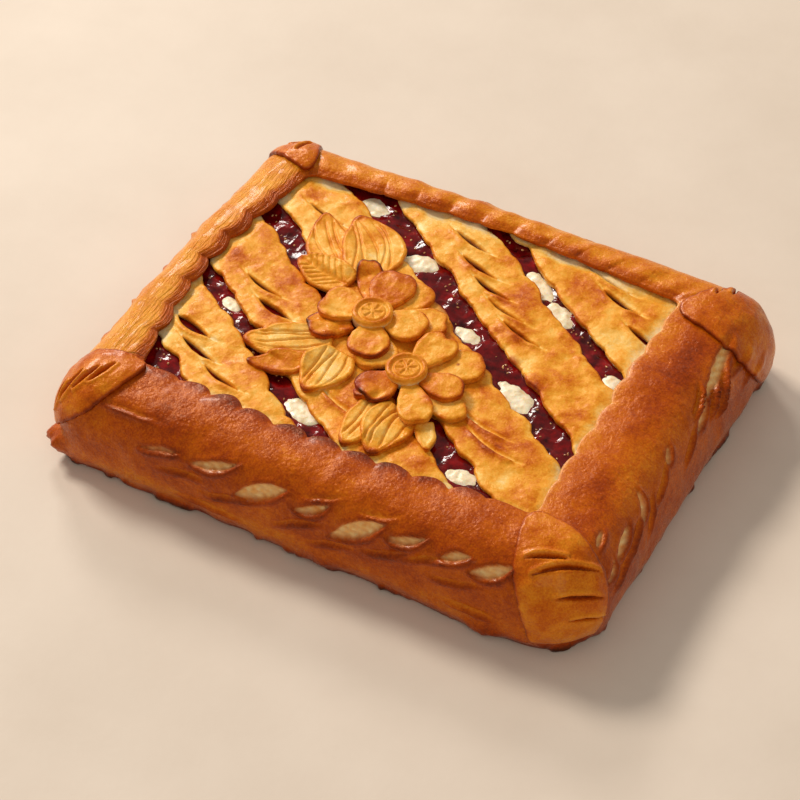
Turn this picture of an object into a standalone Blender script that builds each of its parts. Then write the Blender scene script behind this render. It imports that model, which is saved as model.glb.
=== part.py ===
"""A rectangular open pie with cottage cheese and strawberry jam.

A case of yeast dough is folded up and over its filling, so that four flaps with scalloped lips frame the top,
and a dough leaf lies over each corner. Inside are cottage cheese, a sheet of strawberry jam that the
cheese breaks through in lumps, five slashed dough strips, nine dough leaves and two dough flowers.

Sizes below are in millimetres and the scene is in metres. X runs along the pie, Y across it and Z up.
The origin is on the table, under the middle of the pie.
"""

import math

import bmesh
import bpy
from mathutils import Vector

MM = 0.001

# The case, outside and at its opening
HALF_LENGTH = 128.0
HALF_WIDTH = 103.0
CORNER_RADII = (22.0, 30.0, 20.0, 24.0)  # front left, front right, back right, back left
OPENING_LEFT, OPENING_RIGHT = -98.0, 88.5
OPENING_FRONT, OPENING_BACK = -68.0, 77.0
OPENING_CORNER_RADIUS = 5.0
SIDE_BOWS = (5.5, 0.0, 6.0, 9.5)  # front, right, back, left: how far the lip bows outwards half way along
WAIST_HEIGHT = 13.0  # the walls are widest here
BASE_TUCK = 3.0  # how far the walls come in again at the table
CREST_HEIGHT = 42.6
LIP_TOP = 41.9
LIP_UNDERSIDE = 39.3
LIP_REACH = 12.0  # how far the flat underside of a flap goes back from its lip
WALL = 7.5
FLOOR_TOP = 3.6
CREST_SHARE = 0.72  # where the crest lies between the outer edge and the lip
SHOULDER_SQUARENESS = 2.4  # exponent of the superellipse from waist to crest
SCALLOP_PITCH = 16.4
SCALLOP_DEPTHS = (3.6, 2.0, 1.5, 1.0)  # front, right, back, left
STEPS_PER_SCALLOP = 3
CORNER_STEPS = 4

# What lies inside, from the bottom up
GAP = 0.4  # between pieces that rest on each other
CHEESE_TOP = 33.2
JAM_TOP = 35.5
STRIP_TOP = 38.9
LEAF_TOP = 41.2
LOWER_PETAL_TOP = 42.4
UPPER_PETAL_TOP = 44.8
BUTTON_TOP = 46.7

# Lumps of cheese that stand through the jam: x, y and radius
CHEESE_LUMPS = (
    (-27.5, 49.5, 6.0),
    (43.0, 49.0, 6.5),
    (13.5, 17.5, 4.5),
    (49.5, -5.5, 6.5),
    (-22.0, -57.0, 6.5),
    (83.0, 20.5, 4.5),
    (50.0, -58.0, 4.5),
)

# The strips lie side by side on a slant: distance of each from the pie's middle, width, and turn in degrees
STRIP_SLANT = math.radians(-37.0)
STRIPS = (
    (91.5, 42.0, 0.0),
    (47.5, 30.0, 0.0),
    (3.0, 33.0, 1.5),
    (-41.0, 33.0, 1.5),
    (-82.3, 31.0, 0.0),
)
STRIP_HALF_LENGTH = 150.0
STRIP_SCALLOP_PITCH = 15.0
STRIP_SCALLOP_DEPTH = 2.2
STRIP_TUCK = 8.0  # how far the strips go in under the flaps
SLIT_LENGTH = 15.0
SLIT_TURN = math.radians(18.0)
# Slits of each strip, in the order of STRIPS: place along the strip, place across it, and opening
SLITS = (
    ((-19.0, 2.0, 1.2), (-2.0, 0.0, 1.2), (12.0, -2.5, 3.0), (37.0, -4.0, 3.2)),
    ((-50.5, 2.0, 2.6), (-34.5, -2.5, 3.0), (-19.5, -4.0, 2.8), (-4.0, -5.0, 1.2), (12.0, -5.5, 1.6)),
    ((-97.0, -2.5, 1.6), (-80.5, -4.5, 1.2), (55.0, -1.5, 1.0), (68.0, -4.0, 1.0)),
    ((-63.5, -3.5, 2.0), (-47.0, -5.5, 4.6), (21.0, -4.5, 1.0)),
    ((-52.0, -1.5, 5.5), (-37.5, -5.0, 3.0), (-17.0, -3.0, 2.2)),
)

# Leaves of the spray: base, tip, width, and sideways bend of the midrib
LEAVES = (
    ((-56.5, 32.5), (-74.5, 54.0), 14.0, 1.5),
    ((-48.5, 40.5), (-61.5, 60.0), 14.5, -1.5),
    ((-49.5, 19.5), (-72.5, 24.5), 14.5, 0.0),
    ((-46.5, -22.0), (-66.5, -31.0), 14.5, 1.0),
    ((-39.5, -35.5), (-58.5, -44.5), 10.0, 0.0),
    ((-27.5, -26.0), (-27.0, -48.0), 16.5, 0.0),
    ((2.5, -44.0), (0.5, -68.5), 12.0, 0.0),
    ((15.0, -42.0), (13.0, -67.0), 12.5, 0.0),
    ((25.5, -41.5), (33.0, -55.5), 8.0, 0.0),
)

# Flowers: centre, then petals as direction and half spread in degrees, reach, and depth of the tip's notch
LOWER_PETAL_START = 10.5
UPPER_PETAL_START = 6.0
FLOWERS = (
    {
        "centre": (-23.7, 2.5),
        "lower": (
            (121, 14, 36.0, 0.0),
            (70, 22, 32.0, 0.0),
            (25, 21, 32.0, 0.0),
            (-60, 28, 28.0, 0.0),
            (214, 25, 27.0, 0.0),
        ),
        "upper": ((93, 32, 30.5, 1.0), (9, 36, 24.0, 0.0), (-67, 34, 24.5, 0.0), (178, 37, 24.0, 1.0)),
    },
    {
        "centre": (5.8, -21.5),
        "lower": ((43, 24, 34.0, 0.0), (-19, 17, 33.0, 0.0), (235, 15, 22.5, 0.0)),
        "upper": ((78, 27, 28.5, 2.5), (0, 27, 25.5, 0.0), (-53, 22, 29.0, 0.0), (240, 36, 22.0, 0.0)),
    },
)
BUTTON_RADIUS = 8.8
BUTTON_STEPS = 14

# The leaf of dough over each corner, measured along and across the case's surface
CORNER_LEAF_GAP = 1.0
CORNER_LEAF_THICKNESS = 2.2
CORNER_LEAF_HALF_SPREAD = 13.0
CORNER_LEAF_ROWS = 7
CORNER_LEAF_COLUMNS = 4

# Linear colour, roughness
MATERIALS = {
    "crust": ((0.45, 0.17, 0.035), 0.38),
    "strip_dough": ((0.68, 0.36, 0.09), 0.42),
    "leaf_dough": ((0.64, 0.32, 0.07), 0.42),
    "petal_dough": ((0.62, 0.30, 0.07), 0.42),
    "cottage_cheese": ((0.83, 0.76, 0.58), 0.6),
    "strawberry_jam": ((0.10, 0.008, 0.010), 0.15),
}


def clear_scene():
    for obj in list(bpy.data.objects):
        bpy.data.objects.remove(obj)


def new_collection(name):
    collection = bpy.data.collections.new(name)
    bpy.context.scene.collection.children.link(collection)
    return collection


def make_material(name, colour, roughness):
    material = bpy.data.materials.new(name)
    material.use_nodes = True
    shader = material.node_tree.nodes["Principled BSDF"]
    shader.inputs["Base Color"].default_value = (*colour, 1.0)
    shader.inputs["Roughness"].default_value = roughness
    shader.inputs["Metallic"].default_value = 0.0
    return material


def add_mesh_object(name, mesh, collection, material=None):
    obj = bpy.data.objects.new(name, mesh)
    collection.objects.link(obj)
    if material:
        obj.data.materials.clear()
        obj.data.materials.append(material)
    return obj


def smooth_step(x):
    x = min(1.0, max(0.0, x))
    return x * x * (3.0 - 2.0 * x)


def mesh_from_rings(name, rings):
    """A closed mesh through rings of equal length, with the first and last ring filled. Points are in mm."""
    shape = bmesh.new()
    rows = [[shape.verts.new(Vector(p) * MM) for p in ring] for ring in rings]
    for low, high in zip(rows, rows[1:]):
        for i in range(len(low)):
            j = (i + 1) % len(low)
            shape.faces.new((low[i], low[j], high[j], high[i]))
    shape.faces.new(list(reversed(rows[0])))
    shape.faces.new(rows[-1])
    bmesh.ops.recalc_face_normals(shape, faces=shape.faces)
    mesh = bpy.data.meshes.new(name)
    shape.to_mesh(mesh)
    shape.free()
    mesh.shade_smooth()
    mesh.set_sharp_from_angle(angle=math.radians(40.0))
    return mesh


def corner_frames():
    """For each corner, anticlockwise from the front left: centre of the outer arc, its radius, centre of the
    opening's arc, and the angle at which both arcs start."""
    frames = []
    signs = ((-1, -1), (1, -1), (1, 1), (-1, 1))
    for number, ((sx, sy), radius) in enumerate(zip(signs, CORNER_RADII)):
        lip_x = OPENING_LEFT if sx < 0 else OPENING_RIGHT
        lip_y = OPENING_FRONT if sy < 0 else OPENING_BACK
        frames.append(
            {
                "outer": Vector((sx * (HALF_LENGTH - radius), sy * (HALF_WIDTH - radius))),
                "radius": radius,
                "lip": Vector((lip_x - sx * OPENING_CORNER_RADIUS, lip_y - sy * OPENING_CORNER_RADIUS)),
                "start": math.pi + number * math.pi / 2.0,
            }
        )
    return frames


def corner_section(frame, share):
    """Lip point, outer point and inward direction at a share of the way round a corner."""
    angle = frame["start"] + share * math.pi / 2.0
    outward = Vector((math.cos(angle), math.sin(angle)))
    lip = frame["lip"] + outward * OPENING_CORNER_RADIUS
    return lip, frame["outer"] + outward * frame["radius"], -outward


def rim_sections(steps_per_scallop=STEPS_PER_SCALLOP, corner_steps=CORNER_STEPS):
    """Sections of the case all the way round: lip point, outer point, inward direction and scallop height."""
    sections = []
    frames = corner_frames()
    for number, frame in enumerate(frames):
        for step in range(corner_steps + 1):
            lip, outer, inward = corner_section(frame, step / corner_steps)
            sections.append((lip, outer, inward, 0.0))
        start_lip, start_outer, inward = corner_section(frame, 1.0)
        end_lip, end_outer, _ = corner_section(frames[(number + 1) % 4], 0.0)
        scallops = round((end_lip - start_lip).length / SCALLOP_PITCH)
        steps = scallops * steps_per_scallop
        for step in range(1, steps):
            share = step / steps
            bump = SCALLOP_DEPTHS[number] * abs(math.sin(math.pi * scallops * share))
            lip = start_lip.lerp(end_lip, share) - inward * SIDE_BOWS[number] * math.sin(math.pi * share)
            sections.append((lip, start_outer.lerp(end_outer, share), inward, bump))
    return sections


def shoulder(angle, depth, start, low, high):
    """Point of the superellipse from the waist to the crest: inset from the outer edge, and height."""
    power = 2.0 / SHOULDER_SQUARENESS
    return start + depth * (1.0 - math.cos(angle) ** power), low + (high - low) * math.sin(angle) ** power


def case_profile(reach):
    """The case's section from the table up, over the lip and down the inside, as insets and heights."""
    crest = CREST_SHARE * reach
    outside = [shoulder(math.radians(a), crest, 0.0, WAIST_HEIGHT, CREST_HEIGHT) for a in (0, 28, 54, 80)]
    cavity = reach - LIP_REACH - WALL
    inside = [shoulder(math.radians(a), cavity, WALL, WAIST_HEIGHT, LIP_UNDERSIDE) for a in (89.9, 45, 0)]
    lip_edge = [(reach - 2.0, LIP_TOP), (reach, LIP_TOP - 1.3), (reach - 0.9, LIP_UNDERSIDE)]
    return [(BASE_TUCK, 0.0), *outside, *lip_edge, *inside, (WALL, FLOOR_TOP)]


def section_point(section, inset, height):
    """Point of a section at an inset from the outer edge; the scallop moves only what is near the lip."""
    lip, outer, inward, bump = section
    reach = (lip - outer).length
    place = outer + (lip - outer) * (inset / reach)
    place += inward * bump * smooth_step((inset - reach + 10.0) / 8.0)
    return (place.x, place.y, height)


def build_case(collection, material):
    sections = rim_sections()
    profiles = [case_profile((lip - outer).length) for lip, outer, _, _ in sections]
    rings = [
        [section_point(section, *profile[level]) for section, profile in zip(sections, profiles)]
        for level in range(len(profiles[0]))
    ]
    add_mesh_object("crust_case", mesh_from_rings("crust_case", rings), collection, material)


def build_corner_leaf(number, frame, collection, material):
    """A leaf of dough that follows the case's surface from the opening's corner down to near the table."""
    layers = []
    for lift in (CORNER_LEAF_GAP, CORNER_LEAF_GAP + CORNER_LEAF_THICKNESS):
        grid = []
        for row in range(CORNER_LEAF_ROWS + 1):
            along = row / CORNER_LEAF_ROWS
            angle = math.radians(84.0 - 84.0 * along)
            half = CORNER_LEAF_HALF_SPREAD * math.sin(math.pi * (0.12 + 0.80 * along)) ** 0.8
            line = []
            for column in range(CORNER_LEAF_COLUMNS + 1):
                across = 2.0 * column / CORNER_LEAF_COLUMNS - 1.0
                line.append(corner_surface(frame, angle, across * half, lift, across))
            grid.append(line)
        layers.append(grid)
    name = f"corner_leaf_{number}"
    add_mesh_object(name, shell_mesh(name, *layers), collection, material)


def corner_surface(frame, angle, sideways, lift, across):
    """Point above the corner of the case: angle runs from waist to crest, sideways in mm round the corner."""
    middle_lip, middle_outer, _ = corner_section(frame, 0.5)
    reach = (middle_lip - middle_outer).length
    inset, height = shoulder(angle, CREST_SHARE * reach, 0.0, WAIST_HEIGHT, CREST_HEIGHT)
    radius_here = max(7.0, frame["radius"] - inset * 0.8)
    share = min(1.0, max(0.0, 0.5 + sideways / (radius_here * math.pi / 2.0)))
    lip, outer, inward = corner_section(frame, share)
    place = outer + (lip - outer) * (inset / (lip - outer).length)
    thinning = 1.0 - 0.6 * across**4 if lift > CORNER_LEAF_GAP else 1.0
    raised = CORNER_LEAF_GAP + (lift - CORNER_LEAF_GAP) * thinning
    place -= inward * raised * math.cos(angle)
    return (place.x, place.y, height + raised * math.sin(angle))


def shell_mesh(name, bottom, top):
    """A closed mesh between two grids of points of the same size, in mm."""
    shape = bmesh.new()
    grids = [[[shape.verts.new(Vector(p) * MM) for p in line] for line in grid] for grid in (bottom, top)]
    rows, columns = len(bottom) - 1, len(bottom[0]) - 1
    for layer, grid in enumerate(grids):
        for r in range(rows):
            for c in range(columns):
                face = (grid[r][c], grid[r][c + 1], grid[r + 1][c + 1], grid[r + 1][c])
                shape.faces.new(face if layer else tuple(reversed(face)))
    border = [(0, c) for c in range(columns)] + [(r, columns) for r in range(rows)]
    border += [(rows, c) for c in range(columns, 0, -1)] + [(r, 0) for r in range(rows, 0, -1)]
    for (r0, c0), (r1, c1) in zip(border, border[1:] + border[:1]):
        low, high = grids
        shape.faces.new((low[r0][c0], low[r1][c1], high[r1][c1], high[r0][c0]))
    bmesh.ops.recalc_face_normals(shape, faces=shape.faces)
    mesh = bpy.data.meshes.new(name)
    shape.to_mesh(mesh)
    shape.free()
    mesh.shade_smooth()
    mesh.set_sharp_from_angle(angle=math.radians(50.0))
    return mesh


def apply_boolean(obj, other, operation):
    modifier = obj.modifiers.new(operation.lower(), "BOOLEAN")
    modifier.operation = operation
    modifier.object = other
    return modifier


def as_cutter(obj):
    obj.hide_render = True
    obj.display_type = "WIRE"
    return obj


def upright_drum(name, x, y, radius, low, high, collection, segments=10):
    """An upright drum from low to high."""
    bpy.ops.mesh.primitive_cylinder_add(vertices=segments, radius=radius * MM, depth=(high - low) * MM)
    obj = bpy.context.object
    obj.name = name
    obj.location = (x * MM, y * MM, (low + high) / 2.0 * MM)
    for other in list(obj.users_collection):
        other.objects.unlink(obj)
    collection.objects.link(obj)
    return obj


def build_cheese(collection, cutters, material):
    sections = rim_sections(steps_per_scallop=1, corner_steps=3)
    rings = []
    for angle in (None, 0, 40, 70, 89.9):
        ring = []
        for lip, outer, inward, _ in sections:
            reach = (lip - outer).length
            depth = reach - LIP_REACH - WALL + 1.5
            if angle is None:
                inset, height = WALL + 1.2, FLOOR_TOP + GAP
            else:
                inset, height = shoulder(math.radians(angle), depth, WALL + 1.2, WAIST_HEIGHT, CHEESE_TOP)
            ring.append(section_point((lip, outer, inward, 0.0), inset, height))
        rings.append(ring)
    cheese = add_mesh_object("cottage_cheese", mesh_from_rings("cottage_cheese", rings), collection, material)
    for number, (x, y, radius) in enumerate(CHEESE_LUMPS):
        lump = upright_drum(f"lump_{number}", x, y, radius, CHEESE_TOP - 4.0, JAM_TOP - 0.3, cutters)
        apply_boolean(cheese, as_cutter(lump), "UNION")


def opening_outline(outset):
    """Corners of the opening moved outwards, with short chamfers."""
    left, right = OPENING_LEFT - outset, OPENING_RIGHT + outset
    front, back = OPENING_FRONT - outset, OPENING_BACK + outset
    chamfer = OPENING_CORNER_RADIUS
    return [
        (left + chamfer, front),
        (right - chamfer, front),
        (right, front + chamfer),
        (right, back - chamfer),
        (right - chamfer, back),
        (left + chamfer, back),
        (left, back - chamfer),
        (left, front + chamfer),
    ]


def flat_shape(name, outlines, low, high, collection, material=None):
    """A flat closed piece from an outer outline and any holes, made as a filled curve, then a mesh."""
    curve = bpy.data.curves.new(name, "CURVE")
    curve.dimensions = "2D"
    curve.fill_mode = "BOTH"
    curve.extrude = (high - low) / 2.0 * MM
    for outline in outlines:
        spline = curve.splines.new("POLY")
        spline.points.add(len(outline) - 1)
        for point, (x, y) in zip(spline.points, outline):
            point.co = (x * MM, y * MM, 0.0, 1.0)
        spline.use_cyclic_u = True
    source = bpy.data.objects.new(f"{name}_outline", curve)
    source.location.z = (low + high) / 2.0 * MM
    collection.objects.link(source)
    bpy.context.view_layer.update()
    evaluated = source.evaluated_get(bpy.context.evaluated_depsgraph_get())
    mesh = bpy.data.meshes.new_from_object(evaluated)
    shape = bmesh.new()
    shape.from_mesh(mesh)
    bmesh.ops.remove_doubles(shape, verts=shape.verts, dist=0.00001)
    bmesh.ops.recalc_face_normals(shape, faces=shape.faces)
    shape.to_mesh(mesh)
    shape.free()
    obj = add_mesh_object(name, mesh, collection, material)
    obj.matrix_world = source.matrix_world.copy()
    bpy.data.objects.remove(source)
    return obj


def soften_edges(obj, width):
    bevel = obj.modifiers.new("rounded_edges", "BEVEL")
    bevel.width = width * MM
    bevel.segments = 1
    bevel.limit_method = "ANGLE"
    bevel.angle_limit = math.radians(60.0)


def build_jam(collection, cutters, material):
    jam_outline = opening_outline(LIP_REACH)
    jam = flat_shape("strawberry_jam", [jam_outline], CHEESE_TOP + GAP, JAM_TOP, collection, material)
    for number, (x, y, radius) in enumerate(CHEESE_LUMPS):
        low, high = CHEESE_TOP - 1.0, JAM_TOP + 1.0
        hole = upright_drum(f"jam_hole_{number}", x, y, radius + 0.6, low, high, cutters)
        apply_boolean(jam, as_cutter(hole), "DIFFERENCE")


def strip_outline(offset, width):
    """Outline of a strip with two scalloped sides, along X, before it is turned to the strips' slant."""
    count = round(2.0 * STRIP_HALF_LENGTH / STRIP_SCALLOP_PITCH)
    steps = count * 3
    sides = []
    for side, phase in ((1.0, 0.0), (-1.0, 0.5)):
        line = []
        for step in range(steps + 1):
            along = -STRIP_HALF_LENGTH + 2.0 * STRIP_HALF_LENGTH * step / steps
            bump = STRIP_SCALLOP_DEPTH * abs(math.sin(math.pi * (count * step / steps + phase + offset)))
            line.append((along, side * (width / 2.0 - STRIP_SCALLOP_DEPTH + bump)))
        sides.append(line)
    return sides[0][::-1] + sides[1]


def slit_outline(along, across, opening):
    """A pointed slit, as the knife leaves it when the dough opens."""
    half = SLIT_LENGTH / 2.0
    steps = 3
    shares = [i / steps for i in range(steps)]
    upper = [(half * (1.0 - 2.0 * share), opening / 2.0 * math.sin(math.pi * share)) for share in shares]
    lower = [(-x, -y) for x, y in upper]
    turned = []
    for x, y in upper + lower:
        turned.append(
            (
                along + x * math.cos(SLIT_TURN) - y * math.sin(SLIT_TURN),
                across + x * math.sin(SLIT_TURN) + y * math.cos(SLIT_TURN),
            )
        )
    return turned


def place_on_slant(points, offset, turn):
    """Moves points from a strip's own axes to the pie's."""
    angle = STRIP_SLANT + math.radians(turn)
    normal = Vector((-math.sin(STRIP_SLANT), math.cos(STRIP_SLANT)))
    along, across = Vector((math.cos(angle), math.sin(angle))), Vector((-math.sin(angle), math.cos(angle)))
    return [tuple(normal * offset + along * x + across * y) for x, y in points]


def build_strips(collection, cutters, material):
    trim_outline = opening_outline(STRIP_TUCK)
    trim_box = flat_shape("strip_trim", [trim_outline], JAM_TOP - 2.0, STRIP_TOP + 2.0, cutters)
    as_cutter(trim_box)
    for number, ((offset, width, turn), slits) in enumerate(zip(STRIPS, SLITS), start=1):
        outlines = [strip_outline(number / 5.0, width)] + [slit_outline(*slit) for slit in slits]
        placed = [place_on_slant(outline, offset, turn) for outline in outlines]
        strip = flat_shape(f"dough_strip_{number}", placed, JAM_TOP + GAP, STRIP_TOP, collection, material)
        apply_boolean(strip, trim_box, "INTERSECT")


def leaf_outline(base, tip, width, bend, steps=5):
    """A leaf with a blunt base and a pointed tip, its midrib bent sideways."""
    base, tip = Vector(base), Vector(tip)
    along = (tip - base).normalized()
    across = Vector((-along.y, along.x))
    left, right = [], []
    for step in range(steps + 1):
        share = step / steps
        half = width / 2.0 * math.sin(math.pi * (0.12 + 0.88 * share)) ** 0.7 if step < steps else 0.0
        middle = base.lerp(tip, share) + across * bend * math.sin(math.pi * share)
        left.append(tuple(middle + across * half))
        right.append(tuple(middle - across * half))
    return left + right[:-1][::-1]


def petal_outline(centre, start, direction, spread, reach, notch, steps=8):
    """A petal as a rounded fan about the flower's centre, with an optional notch in its tip."""
    middle, half = math.radians(direction), math.radians(spread)
    points = []
    for step in range(steps + 1):
        across = 2.0 * step / steps - 1.0
        rim = start + (reach - start) * max(0.0, 1.0 - abs(across) ** 2.3) ** (1.0 / 2.3)
        rim -= notch * math.exp(-((across / 0.22) ** 2))
        angle = middle + half * across
        rim = max(rim, start + 0.35 * (reach - start)) if abs(across) > 0.99 else rim
        points.append((centre[0] + rim * math.cos(angle), centre[1] + rim * math.sin(angle)))
    for share in (0.7, 0.0, -0.7):
        angle = middle + half * share
        points.append((centre[0] + start * math.cos(angle), centre[1] + start * math.sin(angle)))
    return points


def build_leaves(collection, material):
    for number, leaf in enumerate(LEAVES, start=1):
        outline = leaf_outline(*leaf)
        obj = flat_shape(f"dough_leaf_{number}", [outline], STRIP_TOP + GAP, LEAF_TOP, collection, material)
        soften_edges(obj, 0.7)


def build_button(name, centre, collection, material):
    """The flower's round middle: a turned disc with a raised rim."""
    low, high, radius = UPPER_PETAL_TOP + GAP, BUTTON_TOP, BUTTON_RADIUS
    profile = [
        (0.0, high - 0.7),
        (radius - 3.2, high - 0.7),
        (radius - 2.4, high),
        (radius - 0.8, high),
        (radius, low + 0.5),
        (radius - 0.3, low),
        (0.0, low),
    ]
    mesh = bpy.data.meshes.new(name)
    points = [(x * MM, 0.0, z * MM) for x, z in profile]
    mesh.from_pydata(points, [(i, i + 1) for i in range(len(points) - 1)], [])
    obj = add_mesh_object(name, mesh, collection, material)
    obj.location = (centre[0] * MM, centre[1] * MM, 0.0)
    screw = obj.modifiers.new("turned", "SCREW")
    screw.steps = screw.render_steps = BUTTON_STEPS
    screw.use_merge_vertices = True
    screw.merge_threshold = 0.00001


def build_flowers(collection, material):
    for flower_number, flower in enumerate(FLOWERS, start=1):
        centre = flower["centre"]
        layers = (
            ("lower", LOWER_PETAL_START, STRIP_TOP + GAP, LOWER_PETAL_TOP),
            ("upper", UPPER_PETAL_START, LOWER_PETAL_TOP + GAP, UPPER_PETAL_TOP),
        )
        for layer, start, low, high in layers:
            for number, petal in enumerate(flower[layer], start=1):
                name = f"flower_{flower_number}_{layer}_petal_{number}"
                outline = petal_outline(centre, start, *petal)
                obj = flat_shape(name, [outline], low, high, collection, material)
                soften_edges(obj, 0.7)
        build_button(f"flower_{flower_number}_button", centre, collection, material)


def main():
    clear_scene()
    pie = new_collection("cottage_cheese_strawberry_pie")
    cutters = new_collection("cutters")
    materials = {name: make_material(name, *look) for name, look in MATERIALS.items()}
    build_case(pie, materials["crust"])
    for number, frame in enumerate(corner_frames(), start=1):
        build_corner_leaf(number, frame, pie, materials["crust"])
    build_cheese(pie, cutters, materials["cottage_cheese"])
    build_jam(pie, cutters, materials["strawberry_jam"])
    build_strips(pie, cutters, materials["strip_dough"])
    build_leaves(pie, materials["leaf_dough"])
    build_flowers(pie, materials["petal_dough"])


main()
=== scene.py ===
"""Looks for the cottage cheese strawberry pie: fine dough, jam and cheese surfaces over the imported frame.

Lengths in this file are in millimetres until a mesh is written. X runs along the pie, Y across it, Z up.
"""

import math

import bmesh
import bpy
import numpy as np
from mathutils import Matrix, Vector
from mathutils.bvhtree import BVHTree

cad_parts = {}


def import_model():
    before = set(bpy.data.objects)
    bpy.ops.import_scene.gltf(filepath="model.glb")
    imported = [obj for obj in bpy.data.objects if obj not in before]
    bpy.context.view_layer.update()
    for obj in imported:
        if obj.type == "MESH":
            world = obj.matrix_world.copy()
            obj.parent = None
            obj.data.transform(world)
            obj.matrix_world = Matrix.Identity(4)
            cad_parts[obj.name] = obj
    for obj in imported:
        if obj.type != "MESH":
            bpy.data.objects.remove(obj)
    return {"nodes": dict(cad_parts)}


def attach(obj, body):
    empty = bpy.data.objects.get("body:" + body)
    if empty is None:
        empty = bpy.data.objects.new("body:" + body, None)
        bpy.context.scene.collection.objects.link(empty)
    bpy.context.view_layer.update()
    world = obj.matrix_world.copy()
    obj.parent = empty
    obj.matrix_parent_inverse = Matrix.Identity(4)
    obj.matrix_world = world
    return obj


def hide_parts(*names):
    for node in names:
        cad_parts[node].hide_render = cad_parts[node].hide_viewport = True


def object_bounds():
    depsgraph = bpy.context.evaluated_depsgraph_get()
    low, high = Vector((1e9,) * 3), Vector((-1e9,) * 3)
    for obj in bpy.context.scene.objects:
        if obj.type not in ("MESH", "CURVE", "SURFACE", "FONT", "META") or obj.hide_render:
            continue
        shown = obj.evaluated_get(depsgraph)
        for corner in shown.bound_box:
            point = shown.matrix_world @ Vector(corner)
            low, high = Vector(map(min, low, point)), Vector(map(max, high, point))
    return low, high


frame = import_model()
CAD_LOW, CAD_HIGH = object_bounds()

MM = 0.001
HALF_LENGTH = CAD_HIGH.x / MM
HALF_WIDTH = CAD_HIGH.y / MM

# ---------------------------------------------------------------- noise and grids


def hashed(ix, iy, iz, seed):
    n = ix * 374761393 + iy * 668265263 + iz * 1440662683 + seed * 974711
    n = n & 0xFFFFFFFF
    n = ((n ^ (n >> 13)) * 1274126177) & 0xFFFFFFFF
    n = n ^ (n >> 16)
    return (n & 0xFFFF) / 32767.5 - 1.0


def value_noise(x, y, z, seed):
    ix, iy, iz = np.floor(x).astype(np.int64), np.floor(y).astype(np.int64), np.floor(z).astype(np.int64)
    fx, fy, fz = x - ix, y - iy, z - iz
    fx, fy, fz = (f * f * f * (f * (f * 6 - 15) + 10) for f in (fx, fy, fz))
    total = 0.0
    for dx in (0, 1):
        wx = fx if dx else 1 - fx
        for dy in (0, 1):
            wy = fy if dy else 1 - fy
            for dz in (0, 1):
                wz = fz if dz else 1 - fz
                total = total + wx * wy * wz * hashed(ix + dx, iy + dy, iz + dz, seed)
    return total


def fbm(x, y, z=0.0, scale=10.0, octaves=3, seed=1):
    """Layered noise of about -1 to 1 whose coarsest lumps are scale millimetres apart."""
    x, y = np.asarray(x, float) / scale, np.asarray(y, float) / scale
    z = np.zeros_like(x) + np.asarray(z, float) / scale
    total, gain = 0.0, 1.0
    for octave in range(octaves):
        shifted = x + 17.3 * octave, y - 9.1 * octave, z + 3.7 * octave
        total = total + gain * value_noise(*shifted, seed + octave)
        x, y, z, gain = x * 2.03, y * 2.03, z * 2.03, gain * 0.5
    return total / 1.4


def smooth(x):
    x = np.clip(x, 0.0, 1.0)
    return x * x * (3 - 2 * x)


def hump(x, width):
    """A bell of height 1 about x = 0."""
    return np.exp(-((x / width) ** 2))


def running_length(points):
    """Length along a line of points up to each of them."""
    return np.concatenate([[0], np.cumsum(np.linalg.norm(np.diff(points, axis=0), axis=1))])


def turned(x, y, degrees):
    """Coordinates along and across a line at an angle to x."""
    c, s = math.cos(math.radians(degrees)), math.sin(math.radians(degrees))
    return x * c + y * s, -x * s + y * c


def lens_distance(p, q, half, opening):
    """Distance to the edge of a leaf-shaped cut that runs along p, positive inside."""
    lens = opening * np.clip(1 - (p / half) ** 2, -1, 1)
    beyond = np.maximum(np.abs(p) - half, 0)
    return np.where(np.abs(p) < half, lens - np.abs(q), -np.hypot(beyond, q))


def puffed(d, reach):
    """Rises from 0 at an edge to 1 at reach inside it."""
    return 1 - np.clip(1 - d / reach, 0, 1) ** 2


def blur(field, sigma):
    """Gaussian blur of a 2D field, sigma in cells."""
    reach = int(math.ceil(sigma * 2.5))
    weights = np.exp(-0.5 * (np.arange(-reach, reach + 1) / sigma) ** 2)
    weights /= weights.sum()
    for axis in (0, 1):
        pad = [(0, 0), (0, 0)]
        pad[axis] = (reach, reach)
        wide = np.pad(field, pad, mode="edge")
        size = field.shape[axis]
        field = sum(w * np.take(wide, range(k, k + size), axis=axis) for k, w in enumerate(weights))
    return field


def polygon_distance(x, y, polygon):
    """Distance to a closed polygon's edge, positive inside."""
    polygon = np.asarray(polygon, float)
    best = np.full(x.shape, 1e9)
    inside = np.zeros(x.shape, bool)
    for (ax, ay), (bx, by) in zip(polygon, np.roll(polygon, -1, axis=0)):
        ex, ey = bx - ax, by - ay
        t = np.clip(((x - ax) * ex + (y - ay) * ey) / max(ex * ex + ey * ey, 1e-9), 0, 1)
        best = np.minimum(best, (x - ax - t * ex) ** 2 + (y - ay - t * ey) ** 2)
        crosses = (ay > y) != (by > y)
        with np.errstate(divide="ignore", invalid="ignore"):
            at = ax + (y - ay) * ex / (ey if ey else 1e-12)
        inside ^= crosses & (x < at)
    return np.where(inside, 1.0, -1.0) * np.sqrt(best)


def dough_looks(bake, pale=0.0, stain=0.0):
    """The attributes that the materials read: how brown (on the crust and corner leaves with painted light
    and shade added), how pale and how stained with jam.
    """
    return {"bake": bake, "pale": pale + 0 * bake, "stain": stain + 0 * bake}


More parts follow.
